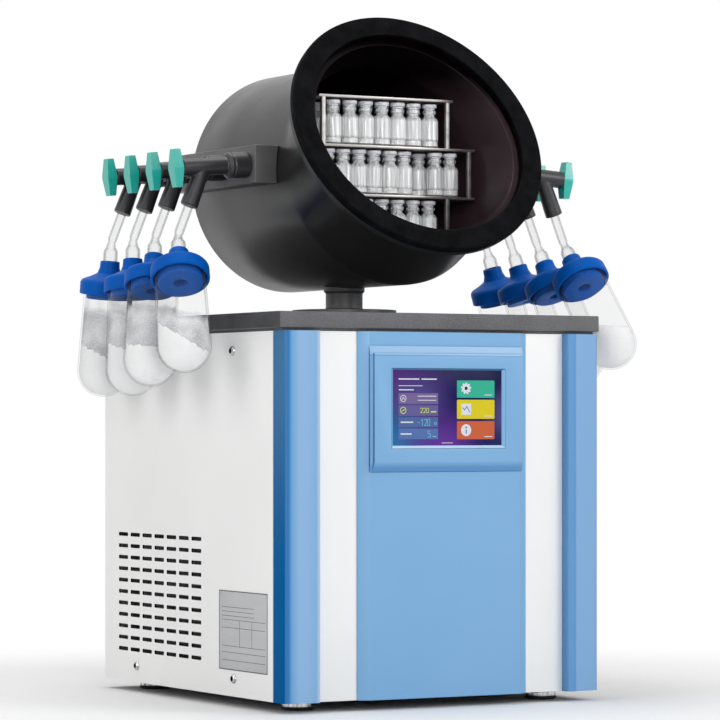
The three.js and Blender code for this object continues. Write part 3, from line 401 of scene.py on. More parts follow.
white_coat = finish("white_powder_coat", shade(242, 242, 241), shade(245, 245, 244), 240,
                    (0.37, 0.41), 1.1, 0.006)
SLOT_COLUMNS, SLOT_ROWS = 7, 11
SLOT_LENGTH, SLOT_HEIGHT, SLOT_CORNER = 27.5 * MM, 5 * MM, 1.6 * MM
SLOT_PITCH_Y, SLOT_PITCH_Z = 35.3 * MM, 15 * MM
FIRST_SLOT_FROM_BACK, LOWEST_SLOT = 56 * MM, 42 * MM
low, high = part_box("left_side_panel")
sheet_size = (high.y - low.y, high.z - low.z)
grid_size = ((SLOT_COLUMNS - 1) * SLOT_PITCH_Y, (SLOT_ROWS - 1) * SLOT_PITCH_Z)
# The sheet's own X runs to the front, so its face is turned to -X.
grid_middle = (FIRST_SLOT_FROM_BACK + grid_size[0] / 2 - sheet_size[0] / 2,
               LOWEST_SLOT + grid_size[1] / 2 - sheet_size[1] / 2, 0)
mesh = grown(sheet_tree, {
    "Width": sheet_size[0], "Height": sheet_size[1], "Thickness": high.x - low.x,
    "Slot Length": SLOT_LENGTH, "Slot Height": SLOT_HEIGHT, "Slot Corner": SLOT_CORNER,
    "Columns": SLOT_COLUMNS, "Rows": SLOT_ROWS, "Grid Width": grid_size[0],
    "Grid Height": grid_size[1], "Grid Centre": grid_middle, "Paint": white_coat})
turn = Matrix(((0, 0, -1, high.x), (-1, 0, 0, (low.y + high.y) / 2),
               (0, 1, 0, (low.z + high.z) / 2), (0, 0, 0, 1)))
mesh.transform(turn)
panel = shown("side_panel_left", mesh, white_coat, 30)


BORDER = 5 * MM


def paint_slot_shade(panel, facing):
    """Paints the cut edges of a panel's slots near black, as painted shade in the slots. The sheet
    faces along X (0) or Y (1).
    """
    panel.data.materials.append(slot_shade_paint)
    corners = [Vector(c) for c in panel.bound_box]
    low = Vector(min(c[i] for c in corners) for i in range(3))
    high = Vector(max(c[i] for c in corners) for i in range(3))
    for face in panel.data.polygons:
        inside_border = all(low[i] + BORDER < face.center[i] < high[i] - BORDER
                            for i in range(3) if i != facing)
        if abs(face.normal[facing]) < 0.5 and inside_border:
            face.material_index = 1


# The near black of the slot edges is painted shade.
slot_shade_paint = finish("slot_edge_painted_shade", shade(12, 12, 13), shade(20, 20, 21), 20, (0.6, 0.75), 0.6,
                    0.01, specular_ior_level=0.1)
paint_slot_shade(panel, 0)
fixed(panel, "white_paint", "left_side_panel")
copied("side_panel_right", "right_side_panel", white_coat, 0.5, "white_paint")

# ---- Screws ----
# Plated button-head screws with a hexagon socket. They hold the side panels and the back on the
# cabinet's frame, and are all one turned and broached pattern.
left_x, right_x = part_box("left_side_panel")[0].x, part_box("right_side_panel")[1].x
front_y, back_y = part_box("front_panel")[0].y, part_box("rear_panel")[1].y
MIDDLE = Vector(((left_x + right_x) / 2, (front_y + back_y) / 2, 0))


def at(x, y, z):
    """A place in millimetres from the middle of the cabinet, at floor level."""
    return MIDDLE + Vector((x, y, z)) * MM


def screw_head(head=6.2, socket=2.8, deep=2.8, steps=24):
    """A button head on the XY plane, with a hexagonal socket sunk in it, in millimetres."""

    def hexagon(angle):
        return socket / math.cos((angle + math.pi / 6) % (math.pi / 3) - math.pi / 6)

    points, faces = turned([
        (0, -0.4), (head, -0.4), (head, 0.5), (5.9, 1.5), (5.2, 2.5), (4.3, 3.1), (3.5, 3.5),
        (hexagon, 3.6), (hexagon, 3.6 - deep), (0, 3.3 - deep)], steps)
    return [p * MM for p in points], faces


# One copy of a pattern at each place, its +Z along the place's own axis, turned about it by a
# random share of the largest turn.
row_tree = tree_named("set_of_copies", pattern="Object", largest_turn="Float", seed="Int",
                      paint="Material")
given = step(row_tree, "NodeGroupInput", {}).outputs
part = step(row_tree, "GeometryNodeObjectInfo", {"Object": given["Pattern"]})
axis = step(row_tree, "GeometryNodeInputNamedAttribute", {"Name": "axis"}, data_type="FLOAT_VECTOR")
stand = step(row_tree, "FunctionNodeAlignRotationToVector", {"Vector": axis.outputs[0]}, axis="Z")
spin = step(row_tree, "FunctionNodeRandomValue",
            {2: 0.0, 3: given["Largest Turn"], "Seed": given["Seed"]}, data_type="FLOAT")
about = step(row_tree, "ShaderNodeCombineXYZ", {"Z": spin.outputs[1]})
local = step(row_tree, "FunctionNodeRotateRotation",
             {0: stand.outputs[0], 1: about.outputs[0]}, rotation_space="LOCAL")
copies = step(row_tree, "GeometryNodeInstanceOnPoints",
              {"Points": given["Places"], "Instance": part.outputs["Geometry"],
               "Rotation": local.outputs[0]})
close_tree(row_tree, copies.outputs[0], given["Paint"])


def repeated(shape, places, axes, material, largest_turn=0.0, seed=1):
    """The plain mesh of a shape set at each place along its axis. Its attributes "height" and
    "from_axis" say where a point is in the shape, in millimetres."""
    pattern = object_of("pattern", mesh_of(shape))
    for label, measure in (("height", lambda p: p.z), ("from_axis", lambda p: p.xy.length)):
        layer = pattern.data.attributes.new(label, "FLOAT", "POINT")
        layer.data.foreach_set("value", [measure(Vector(p)) / MM for p in shape[0]])
    points = bpy.data.meshes.new("places")
    points.from_pydata([tuple(p) for p in places], [], [])
    along = points.attributes.new("axis", "FLOAT_VECTOR", "POINT")
    along.data.foreach_set("vector", [v for one in axes for v in one])
    made = grown(row_tree, {"Pattern": pattern, "Largest Turn": largest_turn, "Seed": seed,
                            "Paint": material}, points)
    bpy.data.objects.remove(pattern)
    return made


def own_tone(material):
    """The colour that a finish has so far."""
    shader = material.node_tree.nodes["Principled BSDF"]
    return shader.inputs["Base Color"].links[0].from_socket


SIDE_X, BACK_Y = 225, 247.5
bright_screw = finish("bright_screw", shade(168, 170, 174), shade(212, 213, 215), 4, (0.1, 0.22),
                      0.4, 0.008, metallic=1.0)
# The socket is painted dark, as painted shade in its recess.
from_axis = node(bright_screw, "Attribute", {}, attribute_name="from_axis").outputs["Fac"]
in_socket = ramp(bright_screw, from_axis, 3.5, 3.3)
socket_painted_shade = between(bright_screw, in_socket, own_tone(bright_screw), shade(34, 35, 37))
set_shader(bright_screw, {"Base Color": socket_painted_shade})
# Each side's screws as (y, z), then the back's as (x, z).
side_screws = [(-119.6, 440.3), (150.3, 34.5), (-123.4, 35.1), (150, 440)]
back_screws = [(-214, 30), (214, 30), (-214, 240), (214, 240), (-214, 446), (214, 446)]
places = [at(x, y, z) for x in (-SIDE_X, SIDE_X) for y, z in side_screws]
places += [at(x, BACK_Y, z) for x, z in back_screws]
axes = [(-1, 0, 0)] * 4 + [(1, 0, 0)] * 4 + [(0, 1, 0)] * 6
screws = repeated(screw_head(), places, axes, bright_screw, math.tau, 7)
fixed(shown("panel_screws", screws, bright_screw, 30), "dark_metal")

# ---- Rating plate ----
# A thin anodised plate riveted low on the left panel, printed with a dark border and ruled, empty
# fields.


def slab(low, high):
    """A block between two corners, given in millimetres from the middle of the cabinet."""
    x, y, z = zip(at(*low), at(*high))
    points = [Vector((x[i], y[j], z[k])) for i in (0, 1) for j in (0, 1) for k in (0, 1)]
    faces = [(0, 1, 3, 2), (4, 6, 7, 5), (0, 4, 5, 1), (2, 3, 7, 6), (0, 2, 6, 4), (1, 5, 7, 3)]
    return points, faces


def scaled(line):
    """A line of points in millimetres, in metres."""
    return [(first * MM, second * MM) for first, second in line]


plate_metal = finish("anodised_plate", shade(180, 181, 183), shade(190, 191, 193), 40,
                     (0.35, 0.5), 0.5, 0.01, stretch=(1, 0.15, 1), metallic=0.35)
plate_ink = finish("plate_ink", shade(58, 60, 64), shade(78, 80, 84), 6, (0.5, 0.6), 0.4, 0.004)
PLATE_THICK, INK_THICK = 0.5, 0.08
plate_x = -SIDE_X - PLATE_THICK
y0, y1, z0, z1 = -212, -84, 45.4, 143.6
plate = mesh_of(slab((plate_x, y0, z0), (-SIDE_X, y1, z1)))
work = bmesh.new()
work.from_mesh(plate)
ease_edges(work, 0.15 * MM)
work.to_mesh(plate)
work.free()
fixed(shown("rating_plate", plate, plate_metal), "dark_metal")
# Lines as (from the front, from the bottom, length, height) in shares of the plate: a border,
# fields, and the columns of a table.
rules = [(0, 0, 1, 0.012), (0, 0.988, 1, 0.012), (0, 0, 0.009, 1), (0.991, 0, 0.009, 1)]
rules += [(0.27, z, 0.67, 0.006) for z in (0.79, 0.735, 0.68)]
rules += [(0.04, z, 0.90, 0.006) for z in (0.63, 0.53, 0.30)]
rules += [(0.315, 0.30, 0.005, 0.33), (0.565, 0.30, 0.005, 0.33)]
rules += [(0.04, z, 0.90, 0.006) for z in (0.22, 0.12)]
wide, tall = y1 - y0, z1 - z0
ink = [slab((plate_x - INK_THICK, y0 + wide * along, z0 + tall * up),
            (plate_x, y0 + wide * (along + length), z0 + tall * (up + height)))
       for along, up, length, height in rules]
fixed(built("rating_plate_lines", together(*ink), plate_ink), "dark_metal")
rivet = turned(scaled(eased([(0, 0), (1.3, 0), (1.3, 0.2), (0.7, 0.7), (0, 0.8)], 0.2)), 12)
FROM_EDGE = 3.4
corners = [at(plate_x, y, z) for y in (y0 + FROM_EDGE, y1 - FROM_EDGE)
           for z in (z0 + FROM_EDGE, z1 - FROM_EDGE)]
rivets = repeated(rivet, corners, [(-1, 0, 0)] * 4, plate_metal)
fixed(shown("rating_plate_rivets", rivets, plate_metal), "dark_metal")

# ---- Front ----
# A white front sheet between two faceted corner posts, with a raised cover down its middle. The
# posts and the cover are extruded aluminium with a semi-gloss coat in light blue, deeper on the
# outer sides.


def belt(low, high, count):
    """The faces between two rings of points, by the numbers of their first points."""
    return [[low + i, low + (i + 1) % count, high + (i + 1) % count, high + i]
            for i in range(count)]


def stacked(rings):
    """A closed shape through like rings of points, from the first to the last."""
    count = len(rings[0])
    points = [Vector(p) for one in rings for p in one]
    faces = []
    for start in range(0, len(points) - count, count):
        faces += belt(start, start + count, count)
    faces += [list(range(count))[::-1], list(range(len(points) - count, len(points)))]
    return points, faces


def extruded(outline, low, high):
    """A closed outline in XY raised between two heights, all in millimetres from the middle."""
    return stacked([[at(x, y, z) for x, y in outline] for z in (low, high)])


def closed_object(shape):
    """A working object in a closed shape, its faces outward."""
    mesh = mesh_of(shape)
    work = bmesh.new()
    work.from_mesh(mesh)
    bmesh.ops.recalc_face_normals(work, faces=work.faces)
    work.to_mesh(mesh)
    work.free()
    return object_of("tool", mesh)


def cut_by(piece, shape):
    """Cuts a closed shape out of a piece."""
    knife = closed_object(shape)
    modifier = piece.modifiers.new("cut", "BOOLEAN")
    modifier.object, modifier.operation, modifier.solver = knife, "DIFFERENCE", "EXACT"
    mesh = final_mesh(piece)
    piece.modifiers.remove(modifier)
    piece.data = mesh
    bpy.data.objects.remove(knife)
    mesh.shade_smooth()
    mesh.set_sharp_from_angle(angle=math.radians(30))
    return piece


CABINET_LOW, CABINET_HIGH = 13, 463
FRONT = -247.5


def light_blue(name):
    """The light blue semi-gloss coat."""
    return finish(name, shade(119, 170, 213), shade(123, 173, 216), 160, (0.3, 0.36), 0.9, 0.006)


def place_along(material, axis):
    """How far along X, Y or Z a point is, in metres."""
    return node(material, "SeparateXYZ", {0: space_of(material)}).outputs[axis]


blue_coat = light_blue("blue_coat")
deep_blue_and_painted_shade = finish("deep_blue_and_painted_shade", shade(0, 88, 150), shade(0, 92, 154), 160, (0.34, 0.4),
                        0.9, 0.006, specular_ior_level=0.01)
# The deep blue is painted lighter towards the top, as painted light that falls off down the post.
painted_light_falloff = ramp(deep_blue_and_painted_shade, place_along(deep_blue_and_painted_shade, "Z"), 0.15, 0.46, kind="SMOOTHSTEP")
set_shader(deep_blue_and_painted_shade, {"Base Color": between(deep_blue_and_painted_shade, painted_light_falloff, own_tone(deep_blue_and_painted_shade),
                                                  shade(72, 120, 164))})
copied("front_sheet", "front_panel", white_coat, 0.4, "white_paint")

COVER_FLAT, COVER_HALF, COVER_PROUD = 108.5, 121.5, 10
cover_line = [(-COVER_HALF, FRONT - 0.3), (-COVER_HALF, FRONT - 1.6),
              (-COVER_FLAT, FRONT - COVER_PROUD), (COVER_FLAT, FRONT - COVER_PROUD),
              (COVER_HALF, FRONT - 1.6), (COVER_HALF, FRONT - 0.3)]
cover = built("front_cover", extruded(eased(cover_line, 2.2, loop=True), CABINET_LOW, CABINET_HIGH),
              blue_coat, 25)
fixed(cut_by(cover, slab((-68, FRONT - 20, 330), (68, FRONT + 10, 408))), "blue_paint",
      "centre_cover")

# The posts' coat is deep blue at the cabinet's corners, like their outer sides, and elsewhere is
# painted with light and shade: lighter and darker bands on the facets as the light falls on them, a
# painted highlight along the front's inner edge, and painted shade on the walls that face away from
# the light. These are its colours by the distance from the cabinet's middle.
POST_PAINTED_SHADING = [
    (-224, shade(6, 106, 170)), (-219.5, shade(8, 110, 176)), (-216, shade(98, 158, 208)),
    (-206, shade(136, 177, 218)), (-196, shade(134, 176, 217)), (-183, shade(126, 171, 213)),
    (-180.5, shade(172, 194, 224)), (177.6, shade(78, 134, 186)), (179, shade(92, 150, 202)),
    (186, shade(90, 148, 201)), (189.8, shade(78, 140, 196)), (190.4, shade(124, 168, 213)),
    (221, shade(122, 168, 212)), (223.4, shade(88, 144, 196))]
POST_EDGE = 230
post_coat_painted_shading = light_blue("post_coat_painted_shading")
across = ramp(post_coat_painted_shading, place_along(post_coat_painted_shading, "X"), at(-POST_EDGE, 0, 0).x, at(POST_EDGE, 0, 0).x)
post_light_and_shade = node(post_coat_painted_shading, "ValToRGB", {"Fac": across})
while len(post_light_and_shade.color_ramp.elements) < len(POST_PAINTED_SHADING):
    post_light_and_shade.color_ramp.elements.new(1.0)
for stop, (x, tone) in zip(post_light_and_shade.color_ramp.elements, POST_PAINTED_SHADING):
    stop.position = (x + POST_EDGE) / (2 * POST_EDGE)
    stop.color = tone
set_shader(post_coat_painted_shading, {"Base Color": post_light_and_shade.outputs["Color"]})

post_line = [(177, FRONT), (177, FRONT - 10), (179, FRONT - 12), (190, FRONT - 12),
             (223, FRONT - 8), (SIDE_X, FRONT - 6), (SIDE_X, -225.5), (221, -225.5),
             (221, FRONT + 2), (177, FRONT + 2)]
for side, sign in (("left", -1), ("right", 1)):
    line = eased([(sign * x, y) for x, y in post_line], 1.6, loop=True)
    post = built(f"corner_post_{side}", extruded(line, CABINET_LOW, CABINET_HIGH), post_coat_painted_shading, 12)
    # The post's outer side is lacquered in a deeper blue.
    post.data.materials.append(deep_blue_and_painted_shade)
    for face in post.data.polygons:
        if face.normal.x * sign > 0.8:
            face.material_index = 1
    fixed(post, "blue_paint", f"{side}_front_post")

# ---- Display ----
# A stepped frame moulded in blue, with a strip along its top and bottom that leans back. It holds a
# touch display: dark glass over a lit picture of thin coloured layers, with plain figures and
# signs.
low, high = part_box("display_bezel")
STRIP = 11.5 * MM
bezel_coat_painted_shading = light_blue("bezel_coat_painted_shading")
# The frame is painted darker on its lower strip and in a thin line under its top strip, as painted
# shade, and lighter on its top strip, as painted light.
rise = place_along(bezel_coat_painted_shading, "Z")
low_edge, high_edge = low.z + STRIP, high.z - STRIP
bottom_painted_shade = ramp(bezel_coat_painted_shading, rise, low_edge - 6 * MM, low_edge + 1 * MM)
line_painted_shade = ramp(bezel_coat_painted_shading, rise, high_edge - 1.6 * MM, high_edge - 0.6 * MM)
top_painted_light = ramp(bezel_coat_painted_shading, rise, high_edge - 0.4 * MM, high_edge + 0.4 * MM)
tone = between(bezel_coat_painted_shading, bottom_painted_shade, shade(84, 143, 196), own_tone(bezel_coat_painted_shading))
tone = between(bezel_coat_painted_shading, line_painted_shade, tone, shade(92, 142, 190))
set_shader(bezel_coat_painted_shading, {"Base Color": between(bezel_coat_painted_shading, top_painted_light, tone, shade(140, 182, 220))})
bezel = eased_copy("display_frame", "display_bezel", bezel_coat_painted_shading, 0.9 * MM, 30, 3)
work = bmesh.new()
work.from_mesh(bezel.data)
for height in (low_edge, high_edge):
    bmesh.ops.bisect_plane(work, geom=work.verts[:] + work.edges[:] + work.faces[:],
                           plane_co=(0, 0, height), plane_no=(0, 0, 1))
for corner in work.verts:
    to_edge = min(corner.co.z - low.z, high.z - corner.co.z)
    if to_edge < STRIP and corner.co.y < at(0, FRONT - 11, 0).y:
        corner.co.y += 2.6 * MM * (1 - to_edge / STRIP)
work.to_mesh(bezel.data)
work.free()
# Its left and lower side faces take the deep blue as painted shade.
bezel.data.materials.append(deep_blue_and_painted_shade)
for face in bezel.data.polygons:
    if min(face.normal.x, face.normal.z) < -0.8 and face.center.y < at(0, FRONT - 10, 0).y:
        face.material_index = 1
fixed(bezel, "blue_paint", "display_bezel")

SCREEN_WIDE, SCREEN_TALL = 156.0, 92.6
SCREEN_X, SCREEN_Z = -1.7, 369.9
GLASS_Y = -264.0


def lit(name, tint, glow=0.42, gloss=0.3):
    """A lit layer of the picture."""
    return blank_finish(name, {"Base Color": tuple(c * 0.5 for c in tint[:3]) + (1.0,),
                               "Roughness": gloss, "Emission Color": tint,
                               "Emission Strength": glow, "Specular IOR Level": 0.1})


screen_glass = blank_finish("screen_picture", {"Roughness": 0.2, "Emission Strength": 0.5,
                                               "Specular IOR Level": 0.06})
space = space_of(screen_glass)
middle = at(SCREEN_X, GLASS_Y, SCREEN_Z)
size = (SCREEN_WIDE * MM, 1.0, SCREEN_TALL * MM)


def glow_at(across, up, width, height):
    """How near a point of the picture is to a spot, from 0 to 1, all in shares of the picture."""
    spot = (middle.x + across * size[0], 0, middle.z + up * size[2])
    away = node(screen_glass, "VectorMath", {0: space, 1: spot}, operation="SUBTRACT").outputs[0]
    away = node(screen_glass, "VectorMath",
                {0: away, 1: (1 / (width * size[0]), 0, 1 / (height * size[2]))},
                operation="MULTIPLY").outputs[0]
    length = node(screen_glass, "VectorMath", {0: away}, operation="LENGTH").outputs["Value"]
    return ramp(screen_glass, length, 0.0, 1.0, 1.0, 0.0, "SMOOTHSTEP")


picture = shade(18, 22, 78)
for across, up, width, height, tint in (
        (-0.55, 0.35, 0.75, 0.9, shade(84, 44, 120)), (-0.3, 0.1, 0.4, 0.5, shade(78, 74, 136)),
        (-0.55, -0.5, 0.6, 0.7, shade(40, 118, 172)), (-0.05, -0.6, 0.5, 0.8, shade(104, 56, 156)),
        (0.55, -0.1, 0.25, 0.55, shade(84, 80, 128)), (0.4, 0.55, 0.7, 0.45, shade(8, 14, 56)),
        (0.5, -0.6, 0.4, 0.4, shade(28, 38, 92))):
    picture = between(screen_glass, glow_at(across, up, width, height), picture, tint)
drift = patches(screen_glass, space, 30)
picture = between(screen_glass, spread(screen_glass, drift, 0, 0.08), picture, shade(70, 60, 150))
dimmed = node(screen_glass, "VectorMath", {0: picture, 1: (0.45, 0.45, 0.45)},
              operation="MULTIPLY").outputs[0]
set_shader(screen_glass, {"Base Color": dimmed, "Emission Color": picture})
display = eased_copy("display_glass", "touch_display", screen_glass, 0.4 * MM)
fixed(display, "screen_glass", "touch_display")

# The frame's window slopes in to the picture, more at its right and sill than at its left and top.
WINDOW_WIDE, WINDOW_TALL, WINDOW_Z = 163.0, 98.0, 369.0
outer_y, inner_y = GLASS_Y - 1.3, GLASS_Y - 0.12


def looped(rings):
    """A skin through like rings of points, and from the last ring back to the first."""
    count = len(rings[0])
    faces = []
    for i in range(len(rings)):
        faces += belt(i * count, (i + 1) % len(rings) * count, count)
    return [p for one in rings for p in one], faces


wall = []
for half_x, half_z, cx, cz, y in (
        (WINDOW_WIDE / 2 - 0.1, WINDOW_TALL / 2 - 0.1, 0, WINDOW_Z, inner_y + 0.1),
        (WINDOW_WIDE / 2 - 0.1, WINDOW_TALL / 2 - 0.1, 0, WINDOW_Z, outer_y),
        (SCREEN_WIDE / 2 + 0.6, SCREEN_TALL / 2 + 0.6, SCREEN_X, SCREEN_Z, outer_y + 0.5),
        (SCREEN_WIDE / 2, SCREEN_TALL / 2, SCREEN_X, SCREEN_Z, inner_y + 0.1)):
    wall.append([at(cx + sx * half_x, y, cz + sz * half_z)
                 for sx, sz in ((-1, -1), (1, -1), (1, 1), (-1, 1))])
sill_painted_light = finish("sill_painted_light_blue", shade(176, 206, 234), shade(184, 212, 238), 120, (0.25, 0.32), 0.9,
                    0.004)
reveal = built("display_reveal", looped(wall), blue_coat, 20)
# The sill's faces are painted lighter as painted light, and the head's faces take the deep blue as
# painted shade.
reveal.data.materials.append(sill_painted_light)
reveal.data.materials.append(deep_blue_and_painted_shade)
sill_z = at(0, 0, SCREEN_Z - SCREEN_TALL / 2 + 0.3).z
head_z = at(0, 0, SCREEN_Z + SCREEN_TALL / 2 - 0.3).z
for face in reveal.data.polygons:
    if face.normal.y < -0.1 and face.center.z < sill_z:
        face.material_index = 1
    elif face.normal.y < -0.1 and face.center.z > head_z:
        face.material_index = 2
fixed(reveal, "blue_paint")


def on_screen(u, v, layer):
    """A place on the picture: u from its left and v from its top in shares, layer in
    millimetres."""
    return (SCREEN_X + (u - 0.5) * SCREEN_WIDE, GLASS_Y - layer, SCREEN_Z + (0.5 - v) * SCREEN_TALL)


def tile(u0, v0, u1, v1, layer=0.1, ease=0.0, base=0.0):
    """A flat rectangle of the picture, with rounded corners if ease is more than 0."""
    x0, _, z0 = on_screen(u0, v1, 0)
    x1, _, z1 = on_screen(u1, v0, 0)
    outline = [(x0, z0), (x1, z0), (x1, z1), (x0, z1)]
    return flat(eased(outline, ease, loop=True) if ease else outline, layer, base)


def flat(outline, layer, base=0.0):
    """A flat outline of (x, z) standing from the glass by a layer in millimetres."""
    return stacked([[at(x, GLASS_Y - proud, z) for x, z in outline] for proud in (base, layer)])


def disc_outline(u, v, radius, teeth=0, depth=0.0, steps=40):
    """A round outline on the picture, or a gear's, radius in millimetres."""
    cx, _, cz = on_screen(u, v, 0)
    points = []
    for i in range(steps):
        angle = math.tau * i / steps
        reach = radius - (depth if teeth and (i * teeth * 2 // steps) % 2 else 0)
        points.append((cx + reach * math.cos(angle), cz + reach * math.sin(angle)))
    return points


def ring(u, v, outer, inner, layer, steps=32, base=0.0):
    """A flat ring on the picture."""
    profile = scaled([(inner, base), (outer, base), (outer, layer), (inner, layer)])
    return moved(turned(profile, steps, ring=True), aimed(at(*on_screen(u, v, 0)), (0, -1, 0)))


def stroke(points, width, layer, base=0.0):
    """Straight strokes through (u, v) points."""
    spots = [on_screen(u, v, 0) for u, v in points]
    bars = []
    for (xa, _, za), (xb, _, zb) in zip(spots, spots[1:]):
        along = Vector((xb - xa, zb - za)).normalized() * width / 2
        side = Vector((-along.y, along.x))
        start, end = Vector((xa, za)) - along, Vector((xb, zb)) + along
        bars.append(flat([start - side, end - side, end + side, start + side], layer, base))
    return together(*bars)


# Figures are drawn with these strokes in a box one unit wide and two high, y down.
FIGURES = {
    "0": [[(0, 0), (1, 0), (1, 2), (0, 2), (0, 0)]],
    "1": [[(0.2, 0.35), (0.6, 0), (0.6, 2)]],
    "2": [[(0, 0.25), (0, 0), (1, 0), (1, 0.9), (0, 2), (1, 2)]],
    "5": [[(1, 0), (0, 0), (0, 0.9), (1, 0.9), (1, 2), (0, 2)]],
    "-": [[(0, 1), (0.7, 1)]],
}


def figures(text, u, v, width, height, line, layer, gap=0.5, base=0.0):
    """Plain figures from (u, v), their top left corner."""
    shapes = []
    for mark in text:
        for points in FIGURES[mark]:
            spots = [(u + x * width, v + y * height / 2) for x, y in points]
            shapes.append(stroke(spots, line, layer, base))
        u += width * (1 + gap)
    return together(*shapes)


row_spans = [(0.306, 0.449), (0.466, 0.607), (0.625, 0.758), (0.775, 0.916)]
row_tints = [shade(120, 102, 150), shade(102, 96, 152), shade(82, 106, 160), shade(88, 116, 174)]
for i, ((v0, v1), tint) in enumerate(zip(row_spans, row_tints)):
    row = tile(0.052, v0, 0.412, v1, 0.08)
    fixed(built(f"display_row_{i + 1}", row, lit(f"display_row_{i + 1}", tint)), "screen_glass")
for name, v0, v1, tint in (("green", 0.134, 0.365, shade(58, 180, 150)),
                           ("yellow", 0.392, 0.647, shade(222, 204, 40)),
                           ("orange", 0.677, 0.919, shade(204, 100, 64))):
    fixed(built(f"display_button_{name}", tile(0.586, v0, 0.934, v1, 0.12, 1.2),
                lit(f"display_button_{name}", tint)), "screen_glass")

white_light = lit("display_white", shade(222, 226, 236))
marks = [tile(0.052, 0.112, 0.24, 0.128, 0.1), tile(0.26, 0.112, 0.40, 0.128, 0.1),
         tile(0.052, 0.205, 0.27, 0.213, 0.1), tile(0.055, 0.256, 0.19, 0.270, 0.1),
         ring(0.094, 0.378, 4.3, 3.5, 0.2),
         stroke([(0.082, 0.392), (0.094, 0.362), (0.106, 0.392)], 0.9, 0.2),
         tile(0.225, 0.341, 0.395, 0.351, 0.16), tile(0.225, 0.396, 0.395, 0.405, 0.16),
         tile(0.07, 0.683, 0.185, 0.700, 0.16), tile(0.07, 0.838, 0.17, 0.856, 0.16),
         flat(disc_outline(0.670, 0.240, 7.4, 9, 1.7, 72), 0.24, 0.1),
         tile(0.627, 0.443, 0.716, 0.593, 0.24, base=0.1),
         flat(disc_outline(0.670, 0.798, 7.4), 0.24, 0.1),
         tile(0.84, 0.322, 0.912, 0.332, 0.2), tile(0.84, 0.604, 0.912, 0.613, 0.2),
         tile(0.84, 0.880, 0.912, 0.890, 0.2), tile(0.446, 0.963, 0.548, 0.971, 0.1)]
fixed(built("display_white_marks", together(*marks), white_light), "screen_glass")
wave = [(0.640, 0.500), (0.656, 0.528), (0.676, 0.482), (0.702, 0.555)]
marks = [flat(disc_outline(0.670, 0.240, 2.2), 0.34, 0.2), stroke(wave, 0.8, 0.34, 0.2),
         stroke([(0.670, 0.795), (0.670, 0.838)], 1.1, 0.34, 0.2),
         flat(disc_outline(0.670, 0.762, 1.0), 0.34, 0.2)]
dark = lit("display_dark", shade(40, 60, 70), 0.2)
fixed(built("display_dark_marks", together(*marks), dark), "screen_glass")
lime = lit("display_lime", shade(214, 228, 70))
marks = [ring(0.094, 0.535, 4.3, 3.4, 0.2), stroke([(0.082, 0.545), (0.106, 0.525)], 0.9, 0.2),
         figures("220", 0.250, 0.505, 0.019, 0.060, 0.6, 0.2),
         tile(0.345, 0.545, 0.395, 0.562, 0.16)]
fixed(built("display_lime_marks", together(*marks), lime), "screen_glass")
cyan = lit("display_cyan", shade(126, 206, 236))
marks = [figures("-120", 0.226, 0.652, 0.020, 0.084, 0.55, 0.2),
         ring(0.388, 0.706, 1.7, 1.1, 0.2), figures("5", 0.318, 0.808, 0.024, 0.080, 0.55, 0.2),
         tile(0.362, 0.876, 0.395, 0.886, 0.16)]
fixed(built("display_cyan_marks", together(*marks), cyan), "screen_glass")

# ---- Worktop ----
# A thick laminate board with rounded corners, on a narrower black layer that leaves a shadow gap
# over the cabinet. The column's pipe passes through its middle.
laminate = finish("worktop_laminate", shade(86, 86, 89), shade(98, 98, 101), 45, (0.42, 0.55), 0.7,
                  0.03, specular_ior_level=0.3)
fleck = spread(laminate, patches(laminate, space_of(laminate), 1.6, 5.0), 0, 1, 0.45, 0.7)
set_shader(laminate, {"Base Color": between(laminate, fleck, own_tone(laminate),
                                            shade(112, 112, 115))})
BOARD_LOW, BOARD_HIGH, BOARD_CORNER, BOARD_EASE = 466.5, 486.5, 7, 1.6
BOARD_HALF_X, BOARD_HALF_Y, PIPE_HOLE = 231, 253.5, 30


def rounded_rectangle(half_x, half_y, corner, steps=10):
    """The outline of a rectangle with round corners."""
    out = []
    for sx, sy, start in ((1, 1, 0), (-1, 1, 90), (-1, -1, 180), (1, -1, 270)):
        for i in range(steps + 1):
            angle = math.radians(start + 90 * i / steps)
            out.append((sx * (half_x - corner) + corner * math.cos(angle),
                        sy * (half_y - corner) + corner * math.sin(angle)))
    return out


def rod(radius, low, high, steps=64):
    """A plain round rod along +Z, in millimetres."""
    return turned(scaled([(0, low), (radius, low), (radius, high), (0, high)]), steps)


edge_line = eased([(-60, BOARD_LOW), (0, BOARD_LOW), (0, BOARD_HIGH), (-60, BOARD_HIGH)],
                  BOARD_EASE, steps=4)
rings = []
for inset, z in edge_line[1:-1]:
    outline = rounded_rectangle(BOARD_HALF_X + inset, BOARD_HALF_Y + inset, BOARD_CORNER + inset)
    rings.append([at(x, y, z) for x, y in outline])
board = built("worktop_board", stacked(rings), laminate, 40)
hole = moved(rod(PIPE_HOLE, BOARD_LOW - 66.5, BOARD_HIGH + 13.5), Matrix.Translation(MIDDLE))
cut_by(board, hole)
# The board's sides are painted darker than its front, as painted shade.
side_painted_shade = finish("worktop_side_painted_shade", shade(58, 58, 60), shade(68, 68, 70), 45, (0.42, 0.55), 0.7,
                   0.03, specular_ior_level=0.3)
board.data.materials.append(side_painted_shade)
for face in board.data.polygons:
    if abs(face.normal.x) > 0.7:
        face.material_index = 1
fixed(board, "black_board", "worktop")
layer = slab((-223.5, -246, CABINET_HIGH), (223.5, 246, BOARD_LOW))
fixed(cut_by(built("worktop_layer", layer, laminate), hole), "black_board", "worktop")

